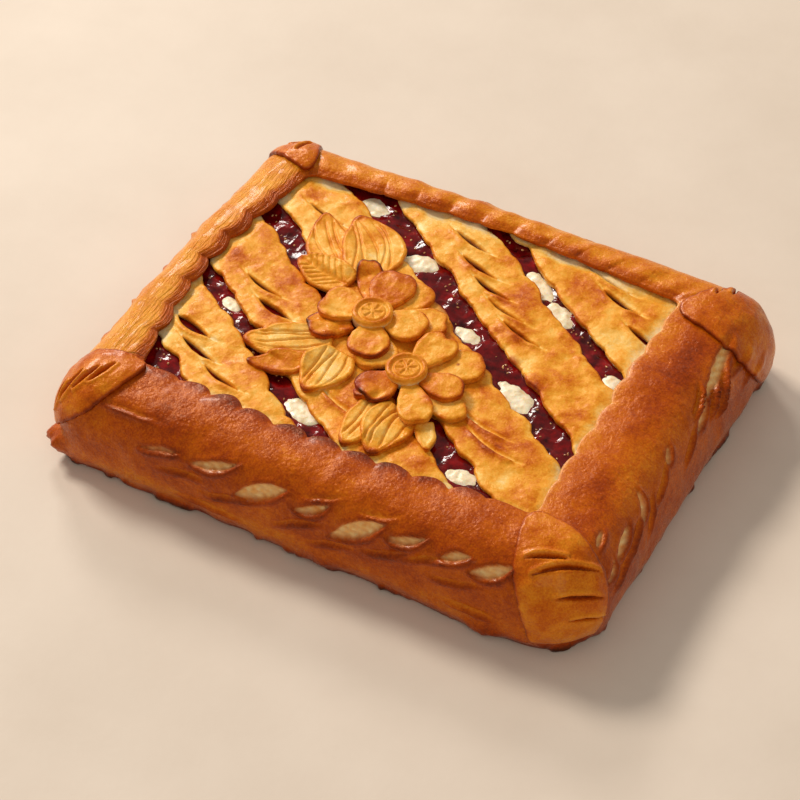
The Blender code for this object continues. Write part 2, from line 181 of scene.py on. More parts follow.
class Grid:
    """A regular grid of points with fields that can be sampled between them."""

    def __init__(self, x0, x1, y0, y1, step):
        self.x0, self.y0, self.step = x0, y0, step
        self.xs = np.arange(x0, x1 + step, step)
        self.ys = np.arange(y0, y1 + step, step)
        self.x, self.y = np.meshgrid(self.xs, self.ys)

    def sample(self, field, x, y):
        u = np.clip((np.asarray(x) - self.x0) / self.step, 0, field.shape[1] - 1.001)
        v = np.clip((np.asarray(y) - self.y0) / self.step, 0, field.shape[0] - 1.001)
        i, j = u.astype(int), v.astype(int)
        fu, fv = u - i, v - j
        low = field[j, i] * (1 - fu) + field[j, i + 1] * fu
        high = field[j + 1, i] * (1 - fu) + field[j + 1, i + 1] * fu
        return low * (1 - fv) + high * fv


# ---------------------------------------------------------------- meshes


def make_mesh(name, points, faces, attributes=None, smooth_shading=True):
    mesh = bpy.data.meshes.new(name)
    mesh.from_pydata((np.asarray(points) * MM).tolist(), [], faces)
    mesh.update()
    for key, values in (attributes or {}).items():
        layer = mesh.attributes.new(key, "FLOAT", "POINT")
        layer.data.foreach_set("value", np.asarray(values, np.float32))
    if smooth_shading:
        mesh.shade_smooth()
    obj = bpy.data.objects.new(name, mesh)
    bpy.context.scene.collection.objects.link(obj)
    return obj


def cut_sheet(grid, distance, level):
    """The part of a grid where distance is over level, with its rim moved onto that contour."""
    f = distance - level
    inside = f > 0
    rows, columns = f.shape
    px, py = grid.x.copy(), grid.y.copy()
    moved = np.full(f.shape, 9.0)
    shift_x, shift_y = np.zeros(f.shape), np.zeros(f.shape)
    for axis in (0, 1):
        a = (slice(None), slice(0, -1)) if axis == 0 else (slice(0, -1), slice(None))
        b = (slice(None), slice(1, None)) if axis == 0 else (slice(1, None), slice(None))
        crossing = inside[a] != inside[b]
        t = np.where(crossing, f[a] / np.where(crossing, f[a] - f[b], 1.0), 9.0)
        for here, sign, amount in ((a, 1.0, t), (b, -1.0, 1.0 - t)):
            amount = np.where(crossing & (amount <= 0.5), amount, 9.0)
            better = amount < moved[here]
            moved[here] = np.where(better, amount, moved[here])
            shift_x[here] = np.where(better, sign * amount * grid.step if axis == 0 else 0.0, shift_x[here])
            shift_y[here] = np.where(better, sign * amount * grid.step if axis == 1 else 0.0, shift_y[here])
    on = moved < 1.0
    px, py = px + np.where(on, shift_x, 0), py + np.where(on, shift_y, 0)
    usable = inside | on
    index = np.arange(rows * columns).reshape(rows, columns)
    corners = np.stack([index[:-1, :-1], index[:-1, 1:], index[1:, 1:], index[1:, :-1]], -1).reshape(-1, 4)
    use = usable.reshape(-1)[corners]
    strictly = (inside & ~on).reshape(-1)[corners]
    count = use.sum(1)
    centre_in = f.reshape(-1)[corners].mean(1) > -0.15 * grid.step
    quads = corners[(count == 4) & (strictly.any(1) | centre_in)]
    three = (count == 3) & strictly.any(1)
    triangles = [tuple(c[u]) for c, u in zip(corners[three], use[three])]
    faces = [tuple(q) for q in quads.tolist()] + [tuple(int(i) for i in t) for t in triangles]
    used = np.unique(np.array([i for face in faces for i in face]))
    remap = np.full(rows * columns, -1)
    remap[used] = np.arange(len(used))
    faces = [tuple(int(remap[i]) for i in face) for face in faces]
    points = np.stack([px.reshape(-1)[used], py.reshape(-1)[used]], -1)
    return points, faces


def rim_edges(faces):
    seen = set()
    for face in faces:
        for k in range(len(face)):
            edge = (face[k], face[(k + 1) % len(face)])
            if (edge[1], edge[0]) in seen:
                seen.remove((edge[1], edge[0]))
            else:
                seen.add(edge)
    return sorted(seen)


def slab(name, grid, distance, edge, height, place, looks, bottom=0.0):
    """A closed piece of dough from a flat outline: rounded rim, shaped top and a plain underside.
    height(x, y, d) is the top above the base, place(x, y, h) gives 3D points and looks(x, y, d, h) the
    attributes."""
    flat, faces = cut_sheet(grid, distance, edge)
    gy, gx = np.gradient(distance, grid.step)
    rim = rim_edges(faces)
    ring_ids = sorted({i for e in rim for i in e})
    local = {v: k for k, v in enumerate(ring_ids)}
    ids = np.array(ring_ids)
    rim_flat = flat[ids]
    nx, ny = -grid.sample(gx, *rim_flat.T), -grid.sample(gy, *rim_flat.T)
    norm = np.maximum(np.hypot(nx, ny), 1e-6)
    out = np.stack([nx / norm, ny / norm], -1)
    d = grid.sample(distance, *flat.T)
    h = height(flat[:, 0], flat[:, 1], d)
    all_flat, all_h, all_d = [flat], [h], [d]
    rim_h = h[ids]
    steps = (30, 60, 88)
    for angle in steps:
        a = math.radians(angle)
        all_flat.append(rim_flat + out * edge * math.sin(a))
        all_h.append(rim_h - edge * (1 - math.cos(a)))
        all_d.append(np.full(len(ids), edge * (1 - math.sin(a))))
    all_flat.append(rim_flat + out * edge * 0.7)
    all_h.append(np.full(len(ids), bottom))
    all_d.append(np.full(len(ids), 0.0))
    count = len(flat)
    n = len(ids)
    for ring in range(len(steps) + 1):
        for a, b in rim:
            la, lb = local[a], local[b]
            upper_a = a if ring == 0 else count + (ring - 1) * n + la
            upper_b = b if ring == 0 else count + (ring - 1) * n + lb
            faces.append((upper_b, upper_a, count + ring * n + la, count + ring * n + lb))
    last = count + len(steps) * n
    flat_all = np.concatenate(all_flat)
    h_all, d_all = np.concatenate(all_h), np.concatenate(all_d)
    points = place(flat_all[:, 0], flat_all[:, 1], h_all)
    obj = make_mesh(name, points, faces, looks(flat_all[:, 0], flat_all[:, 1], d_all, h_all))
    close_underside(obj, [(last + local[a], last + local[b]) for a, b in rim])
    return obj


def close_underside(obj, edges):
    shape = bmesh.new()
    shape.from_mesh(obj.data)
    shape.verts.ensure_lookup_table()
    found = [shape.edges.get((shape.verts[a], shape.verts[b])) for a, b in edges]
    bmesh.ops.triangle_fill(shape, use_beauty=False, use_dissolve=False, edges=[e for e in found if e])
    bmesh.ops.recalc_face_normals(shape, faces=shape.faces)
    for face in shape.faces:
        face.smooth = True
    shape.to_mesh(obj.data)
    shape.free()


# ---------------------------------------------------------------- the dough's place

CORNER_RADII = (22.0, 30.0, 20.0, 24.0)  # front left, front right, back right, back left
OPENING_LEFT, OPENING_RIGHT = -98.0, 88.5
OPENING_FRONT, OPENING_BACK = -68.0, 77.0
OPENING_CORNER_RADIUS = 5.0
# One value for each side: front, right, back and left
SIDE_BOWS = (5.5, 0.0, 6.0, 9.5)  # how far the lip bows outwards half way along
SCALLOP_DEPTHS = (3.8, 1.9, 1.2, 3.0)
LOBE_RISES = (0.05, 0.0, 0.5, 0.08)
LIP_ROLLS = (0.2, 0.0, 0.6, 0.8)
VALLEY_DEPTHS = (0.02, 0.0, 0.2, 0.02)
CUT_LOWER_LIPS = (1.9, 1.0, 1.7, 1.7)
CUT_UPPER_LIPS = (0.5, 0.25, 0.5, 0.5)
# how brown each side is, plus painted light: the lit left and back are paler, the shaded front and right
# browner
SIDE_BAKES_AND_LIGHT = (0.70, 0.64, 0.50, 0.43)
SIDE_DIRECTIONS = ((1, 0), (0, 1), (-1, 0), (0, -1))
SCALLOP_PITCH = 16.4
WAIST_HEIGHT = 13.0
CREST_HEIGHT = 42.4
CREST_SHARE = 0.72
SQUARENESS = 2.4  # exponent of the superellipse from waist to crest
CREST_MARGIN = 1.2  # nothing of the case stands higher above the crest
STATION_STEP = 0.92  # between sections round the case
VALLEY_SHAPE = 0.15  # the scallop shape where two scallops meet
BASE_RINGS = ((14.0, 0.0), (5.0, 0.0), (3.6, 0.25))  # inset and height of the case's underside
BASE_TUCK = 2.9  # how far the walls come in again at the table
BASE_TOP = 0.9
FOOT_RINGS = 13  # from the base up to the waist
FLANK_RINGS = 46  # from the waist up to the crest
FLAP_RINGS = 10  # from the crest to the lip
LIP_ANGLES = (25, 50, 75, 100, 130, 160)
WALL_RING = 30  # a ring of points on the wall, where outwards is plain
LIP_TOP = 41.7
LIP_EDGE = 1.05
JAM_LEVEL = 35.0
STRIP_BASE = 35.4
BUTTON_LEVEL = 44.2


def corner_frames():
    frames = []
    for number, ((sx, sy), radius) in enumerate(zip(((-1, -1), (1, -1), (1, 1), (-1, 1)), CORNER_RADII)):
        lip_x = OPENING_LEFT if sx < 0 else OPENING_RIGHT
        lip_y = OPENING_FRONT if sy < 0 else OPENING_BACK
        frames.append(
            {
                "outer": np.array((sx * (HALF_LENGTH - radius), sy * (HALF_WIDTH - radius))),
                "radius": radius,
                "lip": np.array((lip_x - sx * OPENING_CORNER_RADIUS, lip_y - sy * OPENING_CORNER_RADIUS)),
                "start": math.pi + number * math.pi / 2.0,
            }
        )
    return frames


def rim_stations():
    """Sections round the case: lip point, outer point, inward direction, weights of the four sides, and
    scallop shape from 0 to 1."""
    sections = []
    frames = corner_frames()
    rng = np.random.default_rng(4)

    def corner(frame, share):
        angle = frame["start"] + share * math.pi / 2.0
        out = np.array((math.cos(angle), math.sin(angle)))
        return frame["lip"] + out * OPENING_CORNER_RADIUS, frame["outer"] + out * frame["radius"], -out

    for number, corner_frame in enumerate(frames):
        count = int(corner_frame["radius"] * math.pi / 2 / STATION_STEP)
        for k in range(count + 1):
            share = k / count
            weight = np.zeros(4)
            weight[(number - 1) % 4] = 1 - smooth(share)
            weight[number] = smooth(share)
            sections.append((*corner(corner_frame, share), weight, VALLEY_SHAPE))
        start_lip, start_outer, inward = corner(corner_frame, 1.0)
        end_lip, end_outer, _ = corner(frames[(number + 1) % 4], 0.0)
        scallops = round(np.linalg.norm(end_lip - start_lip) / SCALLOP_PITCH)
        count = int(np.linalg.norm(end_outer - start_outer) / STATION_STEP)
        skews = rng.uniform(-0.13, 0.13, scallops + 1)
        heights = rng.uniform(0.75, 1.15, scallops + 1)
        for k in range(1, count):
            share = k / count
            cell = min(int(share * scallops), scallops - 1)
            skewed = np.clip(share * scallops - cell, 0, 1) ** (1.0 + skews[cell] * 2)
            ends = min(1.0, 6 * share, 6 * (1 - share))
            shape = heights[cell] * abs(math.sin(math.pi * skewed)) ** 0.75 * ends
            shape += VALLEY_SHAPE * (1 - ends)
            weight = np.zeros(4)
            weight[number] = 1.0
            bow = SIDE_BOWS[number] * math.sin(math.pi * share)
            lip = start_lip * (1 - share) + end_lip * share - inward * bow
            outer = start_outer * (1 - share) + end_outer * share
            sections.append((lip, outer, inward, weight, shape))
    return tuple(np.array(column) for column in zip(*sections))


# Leaf-shaped cuts in the walls of each side: place along it, height on the section, half length, half
# opening, tilt in degrees, and how open it is
WALL_CUTS = (
    (
        (-68.7, 31.0, 9.5, 1.2, 12, 0.30), (-42.5, 33.0, 11.0, 2.1, 17, 0.9),
        (-20.0, 30.0, 12.5, 3.6, 24, 1.0), (4.5, 31.0, 8.5, 1.9, 24, 0.8),
        (25.0, 30.0, 13.5, 3.7, 31, 1.0), (47.0, 33.5, 8.5, 1.9, 16, 0.9),
        (68.5, 35.0, 7.0, 2.0, 20, 0.9), (85.0, 34.5, 9.0, 3.0, 25, 0.9),
    ),
    (
        (-66.0, 42.5, 5.0, 1.3, 15, 0.8), (-71.0, 29.0, 5.0, 1.2, 22, 0.7),
        (-57.0, 33.0, 9.0, 1.8, 16, 0.95), (-36.0, 34.0, 7.0, 1.7, 50, 0.9),
        (-7.0, 37.0, 4.5, 1.2, 34, 0.9), (24.0, 33.5, 9.0, 1.7, 24, 0.9), (49.0, 40.0, 19.0, 2.7, 9, 1.0),
    ),
    (
        (70.0, 33.0, 10.0, 1.8, 20, 0.7), (45.0, 32.0, 12.0, 2.4, 22, 0.8),
        (20.0, 32.0, 10.0, 1.8, 20, 0.7), (-5.0, 32.0, 12.0, 2.6, 24, 0.8),
        (-30.0, 32.0, 10.0, 1.8, 20, 0.7), (-55.0, 32.0, 12.0, 2.4, 22, 0.8),
        (-80.0, 33.0, 9.0, 1.8, 20, 0.7),
    ),
    (
        (55.0, 31.0, 10.0, 1.8, 20, 0.7), (30.0, 31.0, 12.0, 2.4, 22, 0.8),
        (5.0, 31.0, 10.0, 1.8, 20, 0.7), (-20.0, 31.0, 12.0, 2.4, 22, 0.8),
        (-45.0, 31.0, 10.0, 1.8, 20, 0.7),
    ),
)
# Folds in the walls without an opening: place along the side, height on the section, half length, how far it
# stands out, and tilt in degrees
WALL_FOLDS = (
    (
        (-88.0, 41.0, 17.0, 0.9, -2), (-58.0, 24.0, 12.0, 0.8, 6), (-34.0, 21.0, 14.0, 1.0, 14),
        (-2.0, 22.0, 13.0, 1.0, 20), (8.0, 37.0, 10.0, 0.6, 16), (14.0, 18.0, 12.0, 0.8, 12),
        (40.0, 25.0, 12.0, 1.0, 18), (58.0, 30.0, 13.0, 1.0, 16), (70.0, 24.0, 12.0, 0.8, 8),
        (78.0, 13.0, 12.0, 1.1, -6), (33.0, 38.5, 9.0, 0.6, 10), (-45.0, 12.0, 16.0, 0.8, -3),
    ),
    (
        (-50.0, 28.0, 14.0, 1.0, 16), (-34.0, 27.0, 10.0, 0.9, 40), (-20.0, 31.0, 13.0, 0.8, 20),
        (8.0, 30.0, 11.0, 0.9, 24), (27.0, 38.5, 9.0, 1.8, 22), (34.0, 34.0, 9.0, 2.0, 34),
        (39.0, 30.0, 9.0, 1.8, 30), (45.0, 34.5, 9.0, 1.8, 22), (62.0, 33.0, 12.0, 1.0, 6),
        (68.0, 25.0, 12.0, 0.9, 10), (-66.0, 23.0, 10.0, 0.9, 20),
    ),
    (
        (60.0, 24.0, 12.0, 0.8, 12), (10.0, 22.0, 14.0, 0.8, 12), (-40.0, 23.0, 12.0, 0.8, 12),
    ),
    (
        (40.0, 22.0, 12.0, 0.8, 12), (-10.0, 22.0, 14.0, 0.8, 12), (-35.0, 24.0, 12.0, 0.8, 12),
    ),
)


def build_case():
    lips, outers, inwards, weights, shapes = rim_stations()
    reach = np.linalg.norm(lips - outers, axis=1)
    n = len(reach)
    # the superellipse from waist to crest, evenly spaced along its length
    fine = np.linspace(0, math.pi / 2, 2000)
    power = 2.0 / SQUARENESS
    ex, ez = 24 * (1 - np.cos(fine) ** power), (CREST_HEIGHT - WAIST_HEIGHT) * np.sin(fine) ** power
    length = running_length(np.stack([ex, ez], -1))
    angles = np.interp(np.linspace(0, length[-1], FLANK_RINGS), length, fine)
    insets, heights = [], []

    def ring(inset, z):
        insets.append(np.broadcast_to(inset, (n,)).astype(float))
        heights.append(np.broadcast_to(z, (n,)).astype(float))

    for base_ring in BASE_RINGS:
        ring(*base_ring)
    for k in range(FOOT_RINGS):
        t = k / (FOOT_RINGS - 1)
        ring(BASE_TUCK * (1 - math.sin(math.pi / 2 * t)), BASE_TOP + (WAIST_HEIGHT - 1.0 - BASE_TOP) * t)
    crest = CREST_SHARE * reach
    for a in angles:
        rise = (CREST_HEIGHT - WAIST_HEIGHT) * math.sin(a) ** power
        ring(crest * (1 - math.cos(a) ** power), WAIST_HEIGHT + rise)
    for k in range(1, FLAP_RINGS + 1):
        t = k / FLAP_RINGS
        ring(crest + (reach - LIP_EDGE - crest) * t, CREST_HEIGHT - (CREST_HEIGHT - LIP_TOP) * t * t)
    for a in LIP_ANGLES:
        r = math.radians(a)
        ring(reach - LIP_EDGE + LIP_EDGE * math.sin(r), LIP_TOP - LIP_EDGE + LIP_EDGE * math.cos(r))
    first_under = len(insets)
    ring(reach - 5.0, LIP_TOP - 2 * LIP_EDGE)
    ring(reach - 10.0, LIP_TOP - 2 * LIP_EDGE - 0.3)
    ring(reach - 11.0, 30.0)
    ring(9.0, 8.0)
    ring(9.0, 4.0)
    inset, z = np.array(insets), np.array(heights)
    m = len(inset)
    direction = (lips - outers) / reach[:, None]
    x = outers[:, 0] + direction[:, 0] * inset
    y = outers[:, 1] + direction[:, 1] * inset
    near_lip = smooth((inset - reach + 11.0) / 9.0)
    depth = weights @ SCALLOP_DEPTHS
    bump = depth * shapes
    x += inwards[:, 0] * bump * near_lip
    y += inwards[:, 1] * bump * near_lip
    # the rolled look of each side's lip, and lobes that stand up between pinched valleys
    from_lip = reach - inset
    lobe = hump(from_lip, 10.0)
    top_side = np.arange(m)[:, None] < first_under
    z += np.where(top_side, (shapes - 0.55) * lobe * (weights @ LOBE_RISES), 0)
    roll = weights @ LIP_ROLLS
    z -= roll * 1.6 * hump(from_lip, 3.5) * top_side
    z = np.minimum(z, CREST_HEIGHT + 0.4)

    # arc length up each section and place along each side
    gaps = np.sqrt(np.diff(inset, axis=0) ** 2 + np.diff(z, axis=0) ** 2)
    arc = np.concatenate([np.zeros((1, n)), np.cumsum(gaps, axis=0)])
    arc -= arc[len(BASE_RINGS)]
    points = np.stack([x, y, z], -1)
    tangent_s = np.roll(points, -1, axis=1) - np.roll(points, 1, axis=1)
    tangent_t = np.gradient(points, axis=0)
    normal = np.cross(tangent_s, tangent_t)
    normal /= np.maximum(np.linalg.norm(normal, axis=-1, keepdims=True), 1e-9)
    outward = -(normal[WALL_RING, :, :2] * inwards).sum(1).mean()
    normal *= 1.0 if outward > 0 else -1.0
    station = running_length(outers)[None, :] + 0 * z

    body = smooth(arc / 4.0) * top_side
    push = 0.95 * fbm(x, y, z, 24, 2, 11) + 0.42 * fbm(x, y, z, 9, 2, 12)
    push += 0.07 * fbm(x, y, z, 2.2, 2, 13)
    side = [np.broadcast_to(weights[:, k], z.shape) for k in range(4)]
    # fine wrinkles along the left flap, ribs across the back rim
    along_wrinkle = fbm(station / 9.0, arc, 0, 2.4, 2, 21)
    push += side[3] * 0.34 * along_wrinkle * smooth((arc - 22) / 8)
    rim_ribs = np.cos(2 * math.pi * station / 16.6) * hump(from_lip - 9, 6.0)
    push += side[2] * 0.42 * rim_ribs
    # folds that run from the lip's valleys
    valley = hump(shapes, 0.3) * hump(from_lip, 8.0)
    push -= valley * (weights @ VALLEY_DEPTHS)
    push *= body
    pale, bake_extra, closed_cut_shade = np.zeros_like(z), np.zeros_like(z), np.zeros_like(z)
    for k, cuts in enumerate(WALL_CUTS):
        dx, dy = SIDE_DIRECTIONS[k]
        along_all = x * dx + y * dy
        for number, (along, up, half, opening, tilt, openness) in enumerate(cuts):
            p, q = turned(along_all - along * (dx + dy), arc - up, tilt)
            q = q + 0.5 * fbm(p, q, number + 10 * k, 6, 2, 31)
            q -= 1.2 * (p / half) ** 2 * (1 if number % 2 else -0.4)
            d = lens_distance(p, q, half, opening)
            here = side[k] * (np.abs(p) < half * 2)
            ratio = np.abs(p) / half
            inner = smooth(d / 1.1 + 0.15) * here
            rim_low = hump(d + 1.5, 1.35) * (q < 0) * smooth(1.6 - ratio) * here
            rim_high = hump(d + 1.0, 1.3) * (q >= 0) * smooth(1.3 - ratio) * here
            crease = hump(q, 0.7) * smooth(1.5 - ratio) * here * (d < 0.3)
            floor = 1.9 * openness * inner - 0.9 * openness * smooth((d - 1.6) / 2.5) * here
            push += -floor + CUT_LOWER_LIPS[k] * rim_low + CUT_UPPER_LIPS[k] * rim_high - 0.6 * crease
            ribs = np.sin(p * 1.3 + q * 1.6 + number)
            push += 0.3 * inner * openness * ribs
            pale = np.maximum(pale, smooth((d + 0.2) / 1.3) * here * openness * (0.84 + 0.16 * ribs))
            bake_extra += 0.06 * rim_low + 0.02 * rim_high
            # painted shade: the closed part of each cut is drawn as a dark line in the colour
            closed_cut_shade = np.maximum(closed_cut_shade, crease * 0.35)
        for number, (along, up, half, lift, tilt) in enumerate(WALL_FOLDS[k]):
            p, q = turned(along_all - along * (dx + dy), arc - up, tilt)
            q = q + 0.9 * fbm(p, q, number + 10 * k, 9, 2, 33)
            q += 0.9 * (p / half) ** 2 * (1 if number % 2 else -1)
            along_fold = smooth(1.25 - np.abs(p) / half) * side[k]
            fold = (hump(q + 1.2, 1.3) - 0.9 * hump(q - 0.5, 0.8)) * along_fold
            push += 1.5 * lift * fold
            bake_extra += 0.08 * fold
    # ragged, burnt bits where the wall meets the table, and the pinched knob at the front left corner
    foot = hump(arc - 1.5, 2.6) * (arc > -3)
    ragged = smooth(fbm(station, z, 0, 9, 3, 41) * 1.4 + 0.1)
    push += foot * (2.3 * ragged - 0.5)
    push += smooth(1 - (arc - 2) / 13) * 1.5 * fbm(station, 0 * z, 0, 21, 2, 44) * top_side
    knob = np.exp(-(((x + HALF_LENGTH - 5) ** 2 + (y + HALF_WIDTH - 6) ** 2) / 75.0)) * hump(z - 8.5, 6.0)
    push += 5.5 * knob * (1 + 0.6 * fbm(x, y, z, 5, 3, 43)) * top_side
    fold_line = hump(z - 14.0 - 0.25 * (x + HALF_LENGTH), 1.3) * smooth(knob * 4)
    push -= 2.2 * fold_line * top_side
    second = np.exp(-(((x - 84) ** 2 + (y + HALF_WIDTH - 2) ** 2) / 55.0)) * hump(z - 4, 4.0)
    push += 3.4 * second * (1 + 0.5 * fbm(x, y, z, 5, 2, 45)) * top_side
    points = points + normal * push[..., None]
    points[..., 2] = np.maximum(points[..., 2], 0.0)
    points[..., 2] = np.minimum(points[..., 2], CREST_HEIGHT + CREST_MARGIN)

    # how brown it is, with painted light and shade added: paler lit sides and darker closed cuts
    front, right, back, left = side
    slope = smooth((arc - 20) / 22)
    # each side's brownness, partly painted light: paler on the lit sides, browner on the shaded ones
    bake = sum(share * level for share, level in zip(side, SIDE_BAKES_AND_LIGHT))
    bake += (front + 0.5 * left + 0.5 * back) * 0.07 * fbm(x, y, z, 18, 3, 51)
    blotch = smooth(1 - np.abs(from_lip - 17) / 12) * smooth(0.6 + 0.9 * fbm(x, y, z, 22, 2, 52))
    bake += right * (0.17 * blotch)
    bake += right * 0.07 * (1 - slope)
    bake += left * 0.16 * (1 - smooth((arc - 25) / 12))
    bake -= 0.10 * smooth(1 - np.abs(arc - 10) / 9) * (front + 0.3 * right)
    lip_line = hump(np.maximum(from_lip - 2.5, 0), 2.2)
    scallop_tips = smooth((shapes - 0.3) / 0.4)
    bake += lip_line * (front * 0.16 * scallop_tips + left * 0.28 + back * 0.16 - right * 0.06)
    bake += 0.24 * foot * ragged + 0.15 * hump(arc, 1.6)
    bake += bake_extra + 0.25 * closed_cut_shade
    bake += 0.05 * np.clip(push, -1.5, 1.5) * body
    pale_edge = hump(from_lip, 1.0) * right * 0.45
    pale = np.maximum(pale * top_side, pale_edge)
    faces = []
    for r in range(m - 1):
        base = r * n
        for c in range(n):
            d = (c + 1) % n
            faces.append((base + c, base + d, base + n + d, base + n + c))
    faces.append(tuple(range(n - 1, -1, -1)))
    faces.append(tuple((m - 1) * n + c for c in range(n)))
    attributes = dough_looks(bake.reshape(-1), pale.reshape(-1))
    attributes["around"] = station.reshape(-1)
    attributes["up"] = arc.reshape(-1)
    attributes["streak"] = (left * smooth((arc - 18) / 8) + 0.25 * back).reshape(-1)
    return make_mesh("crust", points.reshape(-1, 3), faces, attributes)


# ---------------------------------------------------------------- filling and strips

TOP = Grid(-118.0, 106.0, -86.0, 98.0, 0.55)


def opening_distance(x, y, outset=0.0):
    """Distance inside the case's opening, bowed as its lips are."""
    along_x = np.clip((x - OPENING_LEFT) / (OPENING_RIGHT - OPENING_LEFT), 0, 1)
    along_y = np.clip((y - OPENING_FRONT) / (OPENING_BACK - OPENING_FRONT), 0, 1)
    left = x - (OPENING_LEFT - SIDE_BOWS[3] * np.sin(math.pi * along_y))
    right = OPENING_RIGHT - x
    front = y - (OPENING_FRONT - SIDE_BOWS[0] * np.sin(math.pi * along_x))
    back = (OPENING_BACK + SIDE_BOWS[2] * np.sin(math.pi * along_x)) - y
    return np.minimum(np.minimum(left, right), np.minimum(front, back)) + outset


# Lumps of cheese that stand through the jam: x, y, half sizes, turn in degrees and height
CHEESE = (
    (-27.0, 49.5, 8.0, 5.0, 20, 2.0),
    (42.5, 48.5, 8.0, 5.5, -35, 2.0),
    (29.0, 61.0, 11.0, 4.0, -40, 1.2),
    (14.0, 19.0, 6.0, 3.5, -20, 1.8),
    (50.0, -7.0, 9.0, 5.0, -30, 2.0),
    (-25.0, -55.5, 10.0, 5.0, -8, 2.0),
    (82.5, 20.5, 5.5, 4.0, -20, 1.4),
    (51.0, -58.5, 8.0, 4.0, -10, 1.2),
    (-85.0, -13.0, 5.0, 3.0, -30, 1.2),
    (-62.0, 74.0, 9.0, 5.0, -20, 1.0),
)


def cheese_mask(x, y):
    best = np.zeros_like(x)
    for number, (cx, cy, a, b, turn, height) in enumerate(CHEESE):
        p, q = turned(x - cx, y - cy, turn)
        r = np.sqrt((p / a) ** 2 + (q / b) ** 2) / 1.25 + 0.25 * fbm(x, y, number, 5, 2, 61)
        best = np.maximum(best, smooth(1.4 - r) * min(1.0, 0.6 + 0.2 * height))
    return best


def jam_height(x, y):
    lumps = 0.7 * fbm(x, y, 0, 9, 2, 71) + 0.3 * fbm(x, y, 3, 5.0, 1, 72)
    strands = 1 - np.abs(fbm(x, y, 5, 5.0, 1, 73)) * 2.4
    return JAM_LEVEL + 0.4 + lumps + 0.3 * smooth(strands) - 1.3 * smooth(cheese_mask(x, y))


def cheese_height(x, y):
    mask = cheese_mask(x, y)
    curds = 0.55 * np.abs(fbm(x, y, 1, 3.0, 1, 81)) + 0.4 * fbm(x, y, 2, 6, 2, 82)
    return JAM_LEVEL - 1.0 + 1.45 * mask + curds


FILL_BASE = 28.0  # the seen part of the filling starts at this height
FILL_REACH = 6.5  # how far the filling goes in under the flaps
FILL_EDGE = 0.8


def build_fill(name, field, step):
    """A layer of the filling: a shaped top, a flat underside and straight sides under the flaps."""
    grid = Grid(-114.0, 100.0, -82.0, 92.0, step)
    return slab(
        name,
        grid,
        opening_distance(grid.x, grid.y, FILL_REACH),
        FILL_EDGE,
        lambda x, y, d: field(x, y) - FILL_BASE,
        lambda x, y, h: np.stack([x, y, FILL_BASE + h], -1),
        lambda x, y, d, h: dough_looks(0 * x),
    )


STRIP_SLANT = math.radians(-37.0)
# Strips from the back right corner to the front left one: distance from the middle, width, and turn in
# degrees
STRIPS = (
    (93.5, 46.0, 0.0),
    (47.5, 30.0, 0.0),
    (3.0, 33.0, 1.5),
    (-41.0, 33.0, 1.5),
    (-82.3, 31.0, 0.0),
)
STRIP_HALF_LENGTH = 150.0
STRIP_SCALLOP_PITCH = 15.0
STRIP_EDGE = 1.15
# Slits of each strip, in the order of STRIPS: place along the strip, place across it, and opening
SLITS = (
    ((-19.0, 2.0, 1.2), (-2.0, 0.0, 1.2), (12.0, -2.5, 3.0), (37.0, -4.0, 3.2)),
    ((-50.5, 2.0, 2.6), (-34.5, -2.5, 3.0), (-19.5, -4.0, 2.8), (-4.0, -5.0, 1.2), (12.0, -5.5, 1.6)),
    ((-97.0, -2.5, 1.6), (-80.5, -4.5, 1.2), (55.0, -1.5, 1.0), (68.0, -4.0, 1.0)),
    ((-63.5, -3.5, 2.0), (-47.0, -5.5, 4.6), (21.0, -4.5, 1.0)),
    ((-52.0, -1.5, 5.5), (-37.5, -5.0, 3.0), (-17.0, -3.0, 2.2)),
)
SLIT_HALF = 10.5
SLIT_TURN = 18.0
OPEN_SLIT = 1.1  # slits that open less are only creases


def strip_to_world(a, b, offset, turn):
    angle = STRIP_SLANT + math.radians(turn)
    nx, ny = -math.sin(STRIP_SLANT), math.cos(STRIP_SLANT)
    return (
        nx * offset + math.cos(angle) * a - math.sin(angle) * b,
        ny * offset + math.sin(angle) * a + math.cos(angle) * b,
    )


